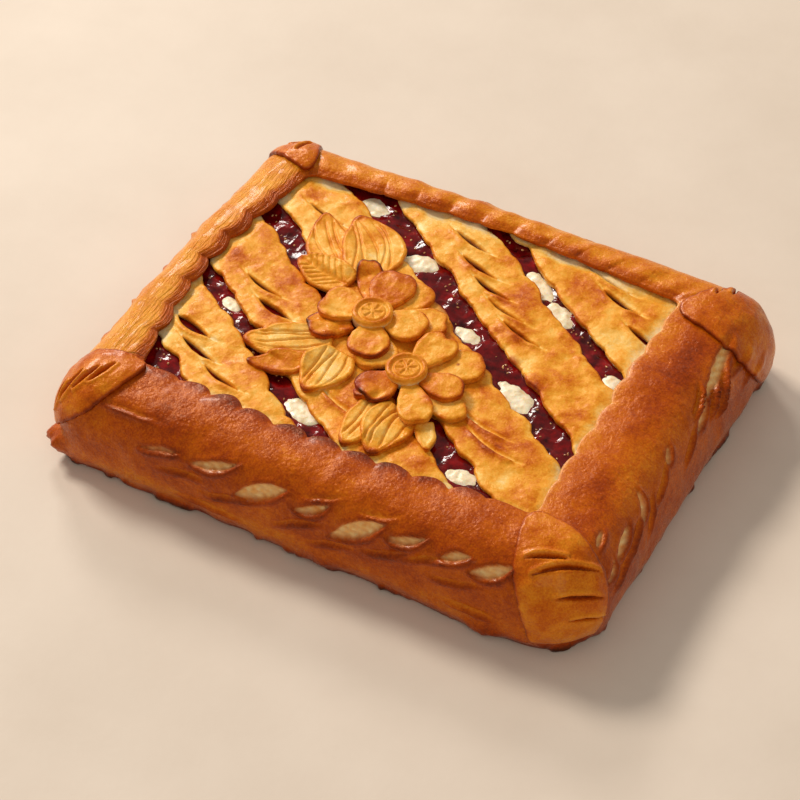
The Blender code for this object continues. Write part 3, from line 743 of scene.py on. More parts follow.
def build_strip(number, surface):
    offset, width, turn = STRIPS[number]
    grid = Grid(-140.0, 140.0, -width / 2 - 3, width / 2 + 3, 0.6)
    a, b = grid.x, grid.y
    wx, wy = strip_to_world(a, b, offset, turn)
    count = round(2 * STRIP_HALF_LENGTH / STRIP_SCALLOP_PITCH)

    def half(a, side):
        phase = 0.0 if side > 0 else 0.5
        along = (a + STRIP_HALF_LENGTH) / (2 * STRIP_HALF_LENGTH)
        wave = np.abs(np.sin(math.pi * (along * count + phase + (number + 1) / 5.0)))
        return width / 2 - 0.9 + 1.0 * wave**0.8 + 2.0 * fbm(a, side * 50.0 + 0 * a, number, 12, 4, 91)

    edge_distance = np.minimum(half(a, 1) - b, half(a, -1) + b) * 0.94
    inside = opening_distance(wx, wy)
    distance = np.minimum(edge_distance, inside + 6.0)
    slit_distance = np.full(a.shape, 50.0)
    ridge, crease = np.zeros_like(a), np.zeros_like(a)
    for along, across, opening in SLITS[number]:
        p, q = turned(a - along, b - across, SLIT_TURN)
        q = q - 0.9 * (p / SLIT_HALF) ** 2
        d = -lens_distance(p, q, SLIT_HALF, opening * 0.42 + 0.1)
        reach = np.abs(p) / SLIT_HALF
        if opening > OPEN_SLIT:
            slit_distance = np.minimum(slit_distance, d)
        ridge += hump(d - 1.7, 1.5) * np.where(q > 0, 0.5, 1.3) * smooth(1.7 - reach)
        crease += hump(q, 0.7) * smooth(1.9 - reach) * (0.9 if opening > OPEN_SLIT else 1.2)
    distance = np.minimum(distance, slit_distance)

    def at(field):
        return lambda x, y: grid.sample(field, x, y)

    ridge_at, crease_at, inside_at, slit_at = at(ridge), at(crease), at(inside), at(slit_distance)

    def under_flap(x, y):
        return smooth(1 - (inside_at(x, y) - 1.0) / 7.0)

    def height(x, y, d):
        ux, uy = strip_to_world(x, y, offset, turn)
        puff = 0.8 * puffed(d, 5.0)
        lumps = 0.7 * fbm(ux, uy, number, 14, 2, 93) + 0.4 * fbm(ux, uy, number, 5, 3, 94)
        tuck = -1.1 * under_flap(x, y)
        return 2.4 + puff + lumps + 0.8 * ridge_at(x, y) - 1.1 * crease_at(x, y) + tuck

    def place(x, y, h):
        ux, uy = strip_to_world(x, y, offset, turn)
        return np.stack([ux, uy, TOP.sample(surface, ux, uy) + h], -1)

    def looks(x, y, d, h):
        ux, uy = strip_to_world(x, y, offset, turn)
        bake = 0.42 + 0.22 * fbm(ux, uy, number, 11, 4, 95) + 0.30 * hump(d, 0.7)
        bake += 0.16 * (h - 3.2) - 0.12 * crease_at(x, y)
        bake -= 0.13 * under_flap(x, y)
        bake -= 0.16 * hump(slit_at(x, y), 2.0)
        return dough_looks(bake, stain=jam_stain(ux, uy) * hump(d, 3.0))

    obj = slab(f"dough_strip_{number + 1}_baked", grid, distance, STRIP_EDGE, height, place, looks)
    record_top(surface, obj)
    return obj


# Places where jam has run onto the strips' edges: x, y and radius
STAINS = (
    (39.0, 8.0, 6.0), (53.0, -4.0, 5.0), (-1.0, 26.0, 5.0),
    (22.0, -5.5, 1.2), (-10.0, -39.0, 3.5), (-58.0, 60.0, 2.0),
)


def jam_stain(x, y):
    total = np.zeros_like(x)
    for cx, cy, radius in STAINS:
        r = np.hypot(x - cx, y - cy) / radius + 0.35 * fbm(x, y, 2, 3, 2, 97)
        total = np.maximum(total, smooth(1.3 - r))
    return total


def record_top(surface, obj):
    """Raises the height map to a new piece's top, so that the next piece lies on it."""
    count = len(obj.data.vertices)
    co = np.zeros(count * 3, np.float32)
    obj.data.vertices.foreach_get("co", co)
    co = co.reshape(-1, 3) / MM
    i = np.clip(np.round((co[:, 0] - TOP.x0) / TOP.step).astype(int), 0, surface.shape[1] - 1)
    j = np.clip(np.round((co[:, 1] - TOP.y0) / TOP.step).astype(int), 0, surface.shape[0] - 1)
    for di in (0, 1, -1):
        for dj in (0, 1, -1):
            jj, ii = np.clip(j + dj, 0, surface.shape[0] - 1), np.clip(i + di, 0, surface.shape[1] - 1)
            np.maximum.at(surface, (jj, ii), co[:, 2] - 0.02)


# ---------------------------------------------------------------- leaves, petals and buttons


def rest_on(surface, sigma_mm):
    """The height at which a soft sheet of dough comes to lie on what is below it."""
    sigma = sigma_mm / TOP.step
    return np.maximum(blur(surface, sigma), blur(surface, sigma * 0.5) - 0.35)


def window(polygon, step):
    low, high = polygon.min(0) - WINDOW_MARGIN, polygon.max(0) + WINDOW_MARGIN
    return Grid(low[0], high[0], low[1], high[1], step)


SHEET_STEP = 0.42  # between the points of a leaf or petal
SHEET_BOTTOM = -0.3
WINDOW_MARGIN = 2.0
LEAF_EDGE = 0.5
LEAF_LOWEST = 38.2
# Leaves: base, tip, width, sideways bend, kind, how brown, and how many stripes
LEAVES = (
    ((-49.0, 25.0), (-77.0, 56.0), 21.0, 3.5, "striped", 0.34, 3),
    ((-40.0, 28.0), (-62.5, 61.5), 29.0, -4.5, "striped", 0.34, 5),
    ((-44.0, 18.0), (-73.5, 24.5), 18.5, 0.5, "veined", 0.34, 0),
    ((-33.0, -15.5), (-68.5, -32.0), 23.0, 2.5, "striped", 0.28, 5),
    ((-36.0, -33.0), (-59.5, -44.5), 13.0, 0.5, "plain", 0.52, 0),
    ((-26.0, -20.5), (-28.5, -49.0), 22.0, 0.0, "striped", 0.30, 4),
    ((3.5, -38.0), (0.5, -69.0), 19.0, 1.0, "striped", 0.32, 3),
    ((14.5, -38.0), (13.0, -68.5), 22.0, -1.5, "striped", 0.32, 4),
    ((25.0, -41.0), (33.5, -56.0), 9.0, 0.0, "plain", 0.24, 0),
)


def leaf_half(t, width, blunt=0.16):
    """Half the width of a leaf, widest about two fifths of the way from its base and drawn out to a point."""
    half = width / 2 * np.sin(math.pi * (blunt + (1 - blunt) * t)) ** 0.56
    return half * (1 - 0.22 * smooth((t - 0.45) / 0.55))


def leaf_polygon(length, width, seed, blunt=0.16):
    """A leaf along +x from its base at 0, with a pointed tip and slightly uneven sides."""
    t = np.linspace(0, 1, 36)
    half = leaf_half(t, width, blunt)
    half[-1] = 0.0
    rng = np.random.default_rng(seed)
    wobble = [0.5 * np.sin(t * 9 + rng.uniform(0, 6)) * (1 - t) for _ in (0, 1)]
    upper = np.stack([t * length, half + wobble[0]], -1)
    lower = np.stack([t * length, -half - wobble[1]], -1)
    return np.concatenate([lower, upper[:-1][::-1]])


def build_leaf(number, surface):
    base, tip, width, bend, kind, bake_level, stripes = LEAVES[number]
    base, tip = np.array(base), np.array(tip)
    length = np.linalg.norm(tip - base)
    ex = (tip - base) / length
    ey = np.array((-ex[1], ex[0]))
    polygon = leaf_polygon(length, width, number)
    grid = window(polygon, SHEET_STEP)
    distance = polygon_distance(grid.x, grid.y, polygon) + 0.35 * fbm(grid.x, grid.y, number, 3.5, 2, 105)
    rest = np.maximum(rest_on(surface, 2.2), LEAF_LOWEST)

    def world(x, y):
        lift = bend * np.sin(math.pi * np.clip(x / length, 0, 1))
        return base[0] + ex[0] * x + ey[0] * (y + lift), base[1] + ex[1] * x + ey[1] * (y + lift)

    def grooves(x, y):
        t = np.clip(x / length, 0, 1)
        local = np.maximum(leaf_half(t, width), 1.0)
        v = y / local
        total = np.zeros_like(x)
        if kind == "striped":
            for k in range(stripes):
                centre = -0.72 + 1.44 * (k + 0.5) / stripes + 0.10 * np.sin(4 * t + k * 2) + 0.25 * (t - 0.5)
                line = hump(y - centre * (0.45 * local + 0.275 * width), 0.5)
                ends = smooth(t * 6) * smooth((0.93 - t) * 5) * smooth((0.9 - np.abs(v)) * 6)
                total = np.maximum(total, line * ends)
        if kind == "veined":
            total = hump(y, 0.6) * 0.8
            for k in range(6):
                line = x - (3.5 + 3.6 * k) - np.abs(y) * 0.9
                total = np.maximum(total, 0.7 * hump(line, 0.55) * (np.abs(v) < 0.85))
        return total

    def height(x, y, d):
        ux, uy = world(x, y)
        puff = 0.35 * puffed(d, 1.5)
        rise = 0.5 * smooth(x / length * 1.4 - 0.4)
        rim = 0.3 * hump(d - 1.3, 0.7)
        return 1.45 + puff + rise + rim + 0.35 * fbm(ux, uy, number, 6, 3, 101) - 0.95 * grooves(x, y)

    def place(x, y, h):
        ux, uy = world(x, y)
        return np.stack([ux, uy, TOP.sample(rest, ux, uy) + h - 0.1], -1)

    def looks(x, y, d, h):
        ux, uy = world(x, y)
        t = np.clip(x / length, 0, 1)
        bake = bake_level + 0.15 * fbm(ux, uy, number, 8, 3, 103) + 0.24 * hump(d, 0.8)
        bake += 0.26 * smooth((t - 0.84) / 0.16) + 0.22 * grooves(x, y) + 0.14 * (h - 2.0)
        return dough_looks(bake)

    name = f"dough_leaf_{number + 1}_baked"
    obj = slab(name, grid, distance, LEAF_EDGE, height, place, looks, SHEET_BOTTOM)
    record_top(surface, obj)
    return obj


PETAL_EDGE = 0.65
# Layers of petals: name, where they start from the middle, thickness, cup of the tips, and lowest place
PETAL_LAYERS = (("lower", 9.5, 2.4, 0.5, 39.0), ("upper", 6.0, 2.5, 0.3, 41.7))
# Petals: direction, half spread, reach, notch, how brown, and how brown the rim is
FLOWERS = (
    {
        "centre": (-23.7, 2.5),
        "lower": (
            (121, 15, 38.0, 0.8, 0.50, 0.30),
            (68, 24, 32.5, 0.0, 0.36, 0.16),
            (24, 24, 33.0, 1.2, 0.34, 0.12),
            (-58, 30, 30.0, 0.8, 0.36, 0.14),
            (216, 29, 29.0, 0.8, 0.46, 0.30),
        ),
        "upper": (
            (93, 33, 31.0, 1.2, 0.58, 0.12),
            (9, 38, 25.0, 0.6, 0.38, 0.18),
            (-67, 36, 25.5, 0.0, 0.42, 0.26),
            (178, 40, 25.5, 1.2, 0.40, 0.26),
        ),
    },
    {
        "centre": (5.8, -21.5),
        "lower": (
            (43, 26, 34.5, 0.6, 0.38, 0.14),
            (-19, 19, 34.0, 0.0, 0.36, 0.14),
            (238, 18, 24.5, 0.0, 0.40, 0.2),
        ),
        "upper": (
            (78, 29, 29.0, 2.6, 0.40, 0.18),
            (0, 29, 26.5, 0.0, 0.50, 0.28),
            (-53, 24, 30.5, 0.6, 0.40, 0.16),
            (240, 38, 23.5, 0.0, 0.50, 0.32),
        ),
    },
)


def petal_polygon(start, direction, spread, reach, notch, seed):
    across = np.linspace(-1, 1, 44)
    rng = np.random.default_rng(seed)
    rim = start + (reach - start) * (1 - np.abs(across) ** 2.5) ** (1 / 2.5)
    rim -= notch * hump(across, 0.2)
    rim += 0.35 * np.sin(across * 5 + rng.uniform(0, 6)) * (1 - np.abs(across))
    angle = math.radians(direction) + math.radians(spread) * across * (1 - 0.12 * (1 - np.abs(across)))
    outer = np.stack([rim * np.cos(angle), rim * np.sin(angle)], -1)
    inner_angle = math.radians(direction) + math.radians(spread) * np.linspace(0.8, -0.8, 5)
    inner = np.stack([start * np.cos(inner_angle), start * np.sin(inner_angle)], -1)
    return np.concatenate([outer, inner])


def build_petal(name, centre, petal, surface, seed, start, thickness, cup, lowest):
    direction, spread, reach, notch, bake_level, rim_bake = petal
    polygon = petal_polygon(start, direction, spread, reach, notch, seed) + np.array(centre)
    grid = window(polygon, SHEET_STEP)
    distance = polygon_distance(grid.x, grid.y, polygon) + 0.4 * fbm(grid.x, grid.y, seed, 4.5, 2, 117)
    rest = np.maximum(rest_on(surface, 1.8), lowest)
    dx, dy = math.cos(math.radians(direction)), math.sin(math.radians(direction))

    def outwards(x, y):
        return ((x - centre[0]) * dx + (y - centre[1]) * dy) / reach

    def height(x, y, d):
        along = outwards(x, y)
        puff = 0.5 * puffed(d, 1.5)
        slope = cup * smooth((along - 0.35) / 0.65)
        across = (-(x - centre[0]) * dy + (y - centre[1]) * dx) / reach
        fold = 0.4 * hump(across - 0.1 - 0.2 * along, 0.06) * smooth(along * 2)
        top = thickness - 0.75 + puff + slope + fold * (seed % 2 - 0.4) * 1.6
        return top + 0.6 * fbm(x, y, seed, 6.5, 3, 111)

    def place(x, y, h):
        return np.stack([x, y, TOP.sample(rest, x, y) + h - 0.15], -1)

    def looks(x, y, d, h):
        outer_rim = smooth((outwards(x, y) - 0.45) / 0.4)
        bake = bake_level + 0.16 * fbm(x, y, seed, 8, 3, 113)
        patchy = 0.75 + 0.9 * fbm(x, y, seed, 9, 2, 115)
        bake += 1.5 * rim_bake * hump(d, 1.1) * (0.35 + 0.8 * outer_rim * patchy)
        bake += 0.10 * (h - thickness)
        return dough_looks(bake, stain=jam_stain(x, y))

    return slab(name, grid, distance, PETAL_EDGE, height, place, looks, SHEET_BOTTOM)


BUTTON_RADIUS = 9.0
BUTTON_WINDOW = 11  # half the width of the grid that a button is cut from


def build_button(name, centre, seed):
    """A round button of dough, stamped with a star inside a ring."""
    (x0, y0), half = centre, BUTTON_WINDOW
    grid = Grid(x0 - half, x0 + half, y0 - half, y0 + half, 0.3)
    distance = BUTTON_RADIUS - np.hypot(grid.x - x0, grid.y - y0)

    def height(x, y, d):
        r = np.hypot(x - centre[0], y - centre[1])
        angle = np.arctan2(y - centre[1], x - centre[0]) + seed
        ring = 0.55 * hump(r - 7.6, 0.9)
        groove = -0.75 * hump(r - 6.1, 0.5)
        wedge = np.cos(3 * angle) ** 2
        star = -0.75 * smooth(wedge * 1.6 - 0.75) * smooth((r - 0.7) / 0.8) * smooth((5.0 - r) / 0.8)
        return 1.9 + ring + groove + star + 0.05 * fbm(x, y, seed, 2, 2, 121)

    def place(x, y, h):
        return np.stack([x, y, BUTTON_LEVEL + h + 0.02 * (x - centre[0]) * math.cos(seed * 5)], -1)

    def looks(x, y, d, h):
        return dough_looks(0.40 + 0.16 * (h - 1.8) + 0.1 * fbm(x, y, seed, 4, 2, 123))

    return slab(name, grid, distance, 0.8, height, place, looks, -3.5)


# ---------------------------------------------------------------- corner leaves


# Corner leaves, in the order of CORNER_RADII: length, width, bend in degrees, how brown, shift of the start,
# and slashes, with place along and across, half length, and turn in degrees
CORNER_LEAVES = (
    (
        53.0, 31.0, -6.0, 0.60, (5, -2),
        ((40, -1, 6.5, 20), (33, 0.5, 7.5, 20), (26, 1.5, 7, 22), (19, 2, 7, 24)),
    ),
    (72.0, 38.0, 0.0, 0.58, (0, 0), ((24, -3, 8, 74), (30, 3, 13, 80), (42, 6, 10, 77), (52, 8, 7, 72))),
    (66.0, 40.0, -26.0, 0.62, (0, -4), ((17, 13, 4, 66), (24, 15, 4, 66))),
    (54.0, 26.0, 0.0, 0.60, (0, 0), ((16, -2, 5, -60), (24, -3, 6, -60), (32, -3, 6, -60))),
)
SWEEP_CENTRE_HEIGHT = 14.0  # rays that find the surface point at this height
RAY_START = 120.0  # and start this far out
SWEEP_STEPS = 200
SWEEP_DEGREES = 100


def build_corner_leaf(number, tree, length, width, bend, bake_level, shift, slashes):
    """A slashed leaf of dough that wraps over the case's corner, from the opening down towards the table."""
    corner = corner_frames()[number]
    angle = corner["start"] + math.pi / 4 + math.radians(bend)
    out = np.array((math.cos(angle), math.sin(angle)))
    side = np.array((-out[1], out[0]))
    start = corner["lip"] + out * (OPENING_CORNER_RADIUS + 1.5) + np.array(shift)
    sideways = np.array((*side, 0.0))
    # follow the surface outwards and then down
    path = []
    for k in range(SWEEP_STEPS):
        sweep = k / (SWEEP_STEPS - 1) * math.radians(SWEEP_DEGREES)
        ray = np.array((*(out * math.sin(sweep)), math.cos(sweep)))
        origin = np.array((*start, SWEEP_CENTRE_HEIGHT)) + ray * RAY_START
        hit = tree.ray_cast(Vector(origin * MM), Vector(-ray))[0]
        if hit is not None:
            path.append(np.array(hit) / MM)
    path = np.array(path)
    steps = running_length(path)
    length = min(length, steps[-1] - 1.0)
    tangent = np.gradient(path, axis=0)
    tangent /= np.linalg.norm(tangent, axis=1, keepdims=True)
    up = np.cross(tangent, sideways)
    up *= np.sign((up @ np.array((*out, 1.0))).mean())
    for axis in range(3):
        kernel = np.ones(25) / 25
        up[:, axis] = np.convolve(np.pad(up[:, axis], 12, mode="edge"), kernel, mode="valid")
    up /= np.linalg.norm(up, axis=1, keepdims=True)
    # mirrored, so that its pointed tip is at the opening and its base is low on the wall
    blunt = 0.16 if number == 1 else 0.03
    polygon = leaf_polygon(length, width, 50 + number, blunt) * (-1.0, 1.0) + (length, 0.0)
    grid = window(polygon, 0.55)
    distance = polygon_distance(grid.x, grid.y, polygon) + 0.5 * fbm(grid.x, grid.y, number, 2.6, 2, 137)
    positions = np.zeros(grid.x.shape + (3,))
    directions = np.zeros(grid.x.shape + (3,))
    for j in range(grid.x.shape[0]):
        for i in range(grid.x.shape[1]):
            a, b = grid.x[j, i], grid.y[j, i]
            base = np.array([np.interp(a, steps, path[:, c]) for c in range(3)])
            normal = np.array([np.interp(a, steps, up[:, c]) for c in range(3)])
            bend_angle = b / (60.0 - 34.0 * min(1.0, a / length))
            n = normal * math.cos(bend_angle) + sideways * math.sin(bend_angle)
            centre = base + sideways * b * math.cos(bend_angle * 0.5)
            centre -= normal * abs(b) * abs(math.sin(bend_angle * 0.5))
            hit = tree.ray_cast(Vector((centre + n * 14.0) * MM), Vector(-n))[0]
            positions[j, i] = np.array(hit) / MM if hit is not None else centre
            directions[j, i] = n
    for axis in range(3):
        positions[..., axis] = blur(positions[..., axis], 2.0)

    def slash_field(x, y):
        total, ridge = np.zeros_like(x), np.zeros_like(x)
        for sx, sy, half, turn in slashes:
            p, q = turned(x - sx, y - sy, turn)
            q = q + 0.010 * p * p + 0.3 * fbm(p, q, sx, 6, 2, 35)
            d = lens_distance(p, q, half, 0.95 if number == 0 else 0.7)
            total = np.maximum(total, smooth(d / 0.8 + 0.5))
            ridge += 0.7 * hump(d + 1.4, 1.0) * (q > 0) * (np.abs(p) < half * 1.1)
        return total, ridge

    def height(x, y, d):
        slash, ridge = slash_field(x, y)
        puff = 1.3 * puffed(d, 6.0)
        rim = 0.35 * hump(d - 1.2, 0.8)
        return 1.5 + puff + rim - 2.4 * slash + ridge + 0.45 * fbm(x, y, number, 7, 3, 131)

    def place(x, y, h):
        base = np.stack([grid.sample(positions[..., c], x, y) for c in range(3)], -1)
        normal = np.stack([grid.sample(directions[..., c], x, y) for c in range(3)], -1)
        return base + normal * (h[:, None] - 0.2)

    def looks(x, y, d, h):
        slash, ridge = slash_field(x, y)
        bake = bake_level + 0.10 * fbm(x, y, number, 9, 3, 133) + 0.22 * hump(d, 0.9)
        # the slash hollows are painted darker: painted shade
        return dough_looks(bake - 0.10 * ridge + 0.24 * slash)

    return slab(f"corner_leaf_{number + 1}_baked", grid, distance, 1.0, height, place, looks, -0.5)


# ---------------------------------------------------------------- materials


def linear(colour):
    """sRGB 0 to 255 as linear red, green, blue."""
    values = [c / 255.0 for c in colour]
    return tuple(c / 12.92 if c <= 0.04045 else ((c + 0.055) / 1.055) ** 2.4 for c in values)


class Nodes:
    """Short names for building one material's node tree."""

    def __init__(self, name):
        self.material = bpy.data.materials.new(name)
        self.material.use_nodes = True
        self.tree = self.material.node_tree
        self.coordinates = self.node("TexCoord").outputs["Object"]

    def put(self, socket, value):
        """Links a socket to an input, or sets the input's value."""
        if isinstance(value, bpy.types.NodeSocket):
            self.tree.links.new(value, socket)
        elif isinstance(value, tuple) and len(socket.default_value) == 4:
            socket.default_value = (*value, 1.0)
        elif value is not None:
            socket.default_value = value

    def fill(self, node, inputs):
        """Fills inputs by name, with _ for each space."""
        for name, value in inputs.items():
            self.put(node.inputs[name.replace("_", " ")], value)
        return node

    def node(self, kind, **inputs):
        return self.fill(self.tree.nodes.new("ShaderNode" + kind), inputs)

    def finish(self, **inputs):
        """Fills the shader's inputs and gives the material."""
        self.fill(self.tree.nodes["Principled BSDF"], inputs)
        return self.material

    def attribute(self, name):
        node = self.node("Attribute")
        node.attribute_name = name
        return node.outputs["Fac"]

    def noise(self, per_metre, detail=3.0, roughness=0.55, distortion=0.0):
        settings = {"Scale": per_metre, "Detail": detail, "Roughness": roughness, "Distortion": distortion}
        return self.node("TexNoise", Vector=self.coordinates, **settings).outputs["Fac"]

    def centred_noise(self, *settings):
        return self.math("SUBTRACT", self.noise(*settings), 0.5)

    def stretched_noise(self, first, second, first_scale, second_scale):
        """Noise over two attributes in millimetres, drawn out along the first."""
        x = self.math("MULTIPLY", self.attribute(first), first_scale)
        y = self.math("MULTIPLY", self.attribute(second), second_scale)
        place = self.node("CombineXYZ", X=x, Y=y).outputs[0]
        return self.node("TexNoise", Vector=place, Scale=1.0, Detail=3.0).outputs["Fac"]

    def cells(self, per_metre, feature="F1"):
        node = self.node("TexVoronoi", Vector=self.coordinates, Scale=per_metre)
        node.feature = feature
        return node.outputs["Distance"]

    def math(self, operation, a, b=None, c=None, clamp=False):
        node = self.node("Math")
        node.operation = operation
        node.use_clamp = clamp
        for socket, value in zip(node.inputs, (a, b, c)):
            self.put(socket, value)
        return node.outputs[0]

    def ramp(self, value, stops):
        """Colours over a value, with stops of position and sRGB colour."""
        node = self.node("ValToRGB", Fac=value)
        elements = node.color_ramp.elements
        while len(elements) < len(stops):
            elements.new(0.5)
        for element, (position, colour) in zip(elements, stops):
            element.position = position
            element.color = (*linear(colour), 1.0)
        return node.outputs["Color"]

    def mix(self, factor, a, b):
        node = self.node("Mix")
        node.data_type = "RGBA"
        for place, value in ((0, factor), (6, a), (7, b)):
            self.put(node.inputs[place], value)
        return node.outputs[2]

    def bump(self, height, strength, distance, normal=None):
        node = self.node("Bump", Strength=strength, Distance=distance, Height=height, Normal=normal)
        return node.outputs["Normal"]


# Dough from raw to burnt
BAKED = (
    (0.00, (250, 224, 170)),
    (0.20, (247, 194, 98)),
    (0.36, (238, 163, 50)),
    (0.50, (218, 128, 24)),
    (0.62, (194, 92, 7)),
    (0.74, (161, 62, 4)),
    (0.86, (122, 40, 8)),
    (1.00, (62, 20, 8)),
)


def dough_material(name, shift, gloss, sparkle, mottle, streaks=False):
    """Baked dough: shift makes it browner, gloss is its egg wash, sparkle its blisters, mottle its spots."""
    n = Nodes(name)
    coarse = n.centred_noise(90.0, 4.0, 0.6)
    fine = n.centred_noise(420.0, 4.0, 0.65)
    bake = n.math("ADD", n.attribute("bake"), shift)
    bake = n.math("MULTIPLY_ADD", coarse, mottle, bake)
    bake = n.math("MULTIPLY_ADD", fine, mottle * 0.9, bake)
    grain = n.centred_noise(1300.0, 2.0, 0.6)
    bake = n.math("MULTIPLY_ADD", grain, 0.26, bake)
    speck = n.math("LESS_THAN", n.cells(260.0), 0.10)
    speck = n.math("MULTIPLY", speck, n.math("GREATER_THAN", n.noise(60.0, 2.0), 0.52))
    bake = n.math("MULTIPLY_ADD", speck, 0.06, bake, clamp=True)
    colour = n.ramp(bake, BAKED)
    pale = n.ramp(n.noise(300.0, 3.0), ((0.3, (252, 188, 104)), (0.7, (255, 230, 168))))
    colour = n.mix(n.attribute("pale"), colour, pale)
    colour = n.mix(n.math("MULTIPLY", n.attribute("stain"), 0.8), colour, linear((150, 30, 22)))
    rough = n.math("MULTIPLY_ADD", fine, 0.35, 0.46 - 0.14 * gloss)
    blisters = n.math("SUBTRACT", 1.0, n.math("MULTIPLY", n.cells(520.0), 1.6, clamp=True))
    patches = n.math("MULTIPLY_ADD", n.noise(70.0, 2.0), 1.6, -0.45, clamp=True)
    blisters = n.math("MULTIPLY", blisters, patches)
    normal = n.bump(n.noise(190.0, 4.0, 0.6), 0.5, 0.0011)
    normal = n.bump(n.noise(1250.0, 3.0, 0.65), 0.6, 0.00030, normal)
    normal = n.bump(blisters, sparkle, 0.0004, normal)
    if streaks:
        lines = n.math("MULTIPLY", n.stretched_noise("around", "up", 0.09, 1.1), n.attribute("streak"))
        normal = n.bump(lines, 1.0, 0.0011, normal)
    return n.finish(
        Base_Color=colour,
        Roughness=rough,
        Specular_IOR_Level=0.34,
        Specular_Tint=(1.0, 0.44, 0.10),
        Coat_Weight=0.17 * gloss,
        Coat_Roughness=0.17,
        Coat_IOR=1.45,
        Coat_Tint=(1.0, 0.88, 0.70),
        Subsurface_Weight=0.06,
        Subsurface_Radius=(0.0022, 0.0011, 0.0005),
        Subsurface_Scale=1.0,
        Normal=normal,
    )


def jam_material():
    n = Nodes("strawberry_jam_glossy")
    tone = n.noise(160.0, 4.0, 0.6)
    reds = ((0.30, (44, 2, 4)), (0.52, (104, 6, 9)), (0.72, (150, 14, 14)))
    colour = n.ramp(tone, reds)
    normal = n.bump(n.noise(230.0, 2.0, 0.5, 0.6), 0.16, 0.0011)
    normal = n.bump(n.noise(900.0, 2.0, 0.5), 0.12, 0.0003, normal)
    return n.finish(
        Base_Color=colour,
        Roughness=n.math("MULTIPLY_ADD", n.noise(500.0, 2.0), 0.14, 0.05),
        Specular_IOR_Level=0.30,
        Subsurface_Weight=0.25,
        Subsurface_Radius=(0.003, 0.0004, 0.0004),
        Subsurface_Scale=1.0,
        Normal=normal,
    )


def cheese_material():
    n = Nodes("cottage_cheese_moist")
    tone = n.noise(380.0, 4.0, 0.6)
    creams = ((0.30, (228, 200, 150)), (0.5, (244, 228, 194)), (0.8, (252, 242, 220)))
    colour = n.ramp(tone, creams)
    yellow = n.math("LESS_THAN", n.cells(330.0), 0.12)
    colour = n.mix(n.math("MULTIPLY", yellow, 0.5), colour, linear((240, 208, 120)))
    normal = n.bump(n.cells(420.0, "SMOOTH_F1"), 0.5, -0.0008)
    normal = n.bump(n.noise(1100.0, 3.0), 0.3, 0.0004, normal)
    return n.finish(
        Base_Color=colour,
        Roughness=0.42,
        Coat_Weight=0.25,
        Coat_Roughness=0.2,
        Subsurface_Weight=0.35,
        Subsurface_Radius=(0.003, 0.002, 0.0012),
        Subsurface_Scale=1.0,
        Normal=normal,
    )


def seed_material():
    n = Nodes("strawberry_seeds")
    colour = n.ramp(n.noise(200.0, 2.0), ((0.3, (170, 96, 50)), (0.7, (226, 176, 110))))
    return n.finish(
        Base_Color=colour,
        Roughness=0.35,
        Coat_Weight=0.6,
        Coat_Roughness=0.1,
        Normal=n.bump(n.noise(2600.0, 2.0), 0.3, 0.0001),
    )


def floor_material():
    n = Nodes("pale_floor")
    colour = n.ramp(n.noise(7.0, 5.0, 0.6), ((0.3, (214, 198, 182)), (0.7, (226, 211, 196))))
    return n.finish(
        Base_Color=colour,
        Roughness=0.6,
        Normal=n.bump(n.noise(300.0, 4.0), 0.15, 0.0004),
    )


# ---------------------------------------------------------------- seeds in the jam


SEED_COUNT = 120
SEED_SHAPE = (1.35, 0.85, 0.7)
SEED_LIFT = 0.12


def build_seeds(surface):
    """Small pale strawberry seeds half sunk in the jam where it shows between the strips."""
    rng = np.random.default_rng(12)
    points, faces = [], []
    shape = bmesh.new()
    bmesh.ops.create_icosphere(shape, subdivisions=1, radius=1.0)
    shape.verts.ensure_lookup_table()
    unit = np.array([v.co for v in shape.verts])
    unit_faces = [[v.index for v in f.verts] for f in shape.faces]
    shape.free()
    while len(faces) < SEED_COUNT * len(unit_faces):
        x, y = rng.uniform(-108, 88), rng.uniform(-74, 84)
        size, turn, tip = rng.uniform(0.38, 0.62), rng.uniform(0, 6.3), rng.uniform(-0.5, 0.5)
        here = np.array([x]), np.array([y])
        z = float(jam_height(*here)[0])
        covered = float(TOP.sample(surface, x, y)) > z + 0.5
        if covered or opening_distance(*here)[0] < 1.0 or cheese_mask(*here)[0] > 0.5:
            continue
        bx, by, bz = (unit * SEED_SHAPE * size).T
        c, s = math.cos(turn), math.sin(turn)
        body = np.stack([bx * c - by * s, bx * s + by * c, bz + tip * bx], -1)
        start = len(points)
        points.extend((body + (x, y, z + SEED_LIFT)).tolist())
        faces.extend([[i + start for i in f] for f in unit_faces])
    return make_mesh("jam_seeds", np.array(points), faces)


# ---------------------------------------------------------------- stage


# Area lights aimed at the pie: name, place in metres, size, watts and colour
LIGHTS = (
    ("window", (-2.27, 0.93, 2.06), (0.9, 0.6), 76.0, (1.0, 0.93, 0.82)),
    ("back_window", (-1.75, 2.0, 1.45), (0.6, 0.5), 27.0, (1.0, 0.95, 0.88)),
    ("fill", (0.9, -1.1, 1.3), (1.0, 1.0), 5.0, (1.0, 0.90, 0.78)),
)
LIGHT_TARGET = (0, 0, 0.02)
WORLD_COLOUR = (1.0, 0.95, 0.88)
WORLD_STRENGTH = 0.37
FLOOR_HALF = 3000.0
FLOOR_DROP = 0.0002  # metres below the pie's base, so that the two faces don't coincide
CAMERA_LENS = 117.0
CAMERA_TARGET = (-0.0096, 0.0012, 0.0)
CAMERA_DIRECTION = (0.3396, -0.6299, 0.6985)  # from the target
CAMERA_DISTANCE = 1.1438


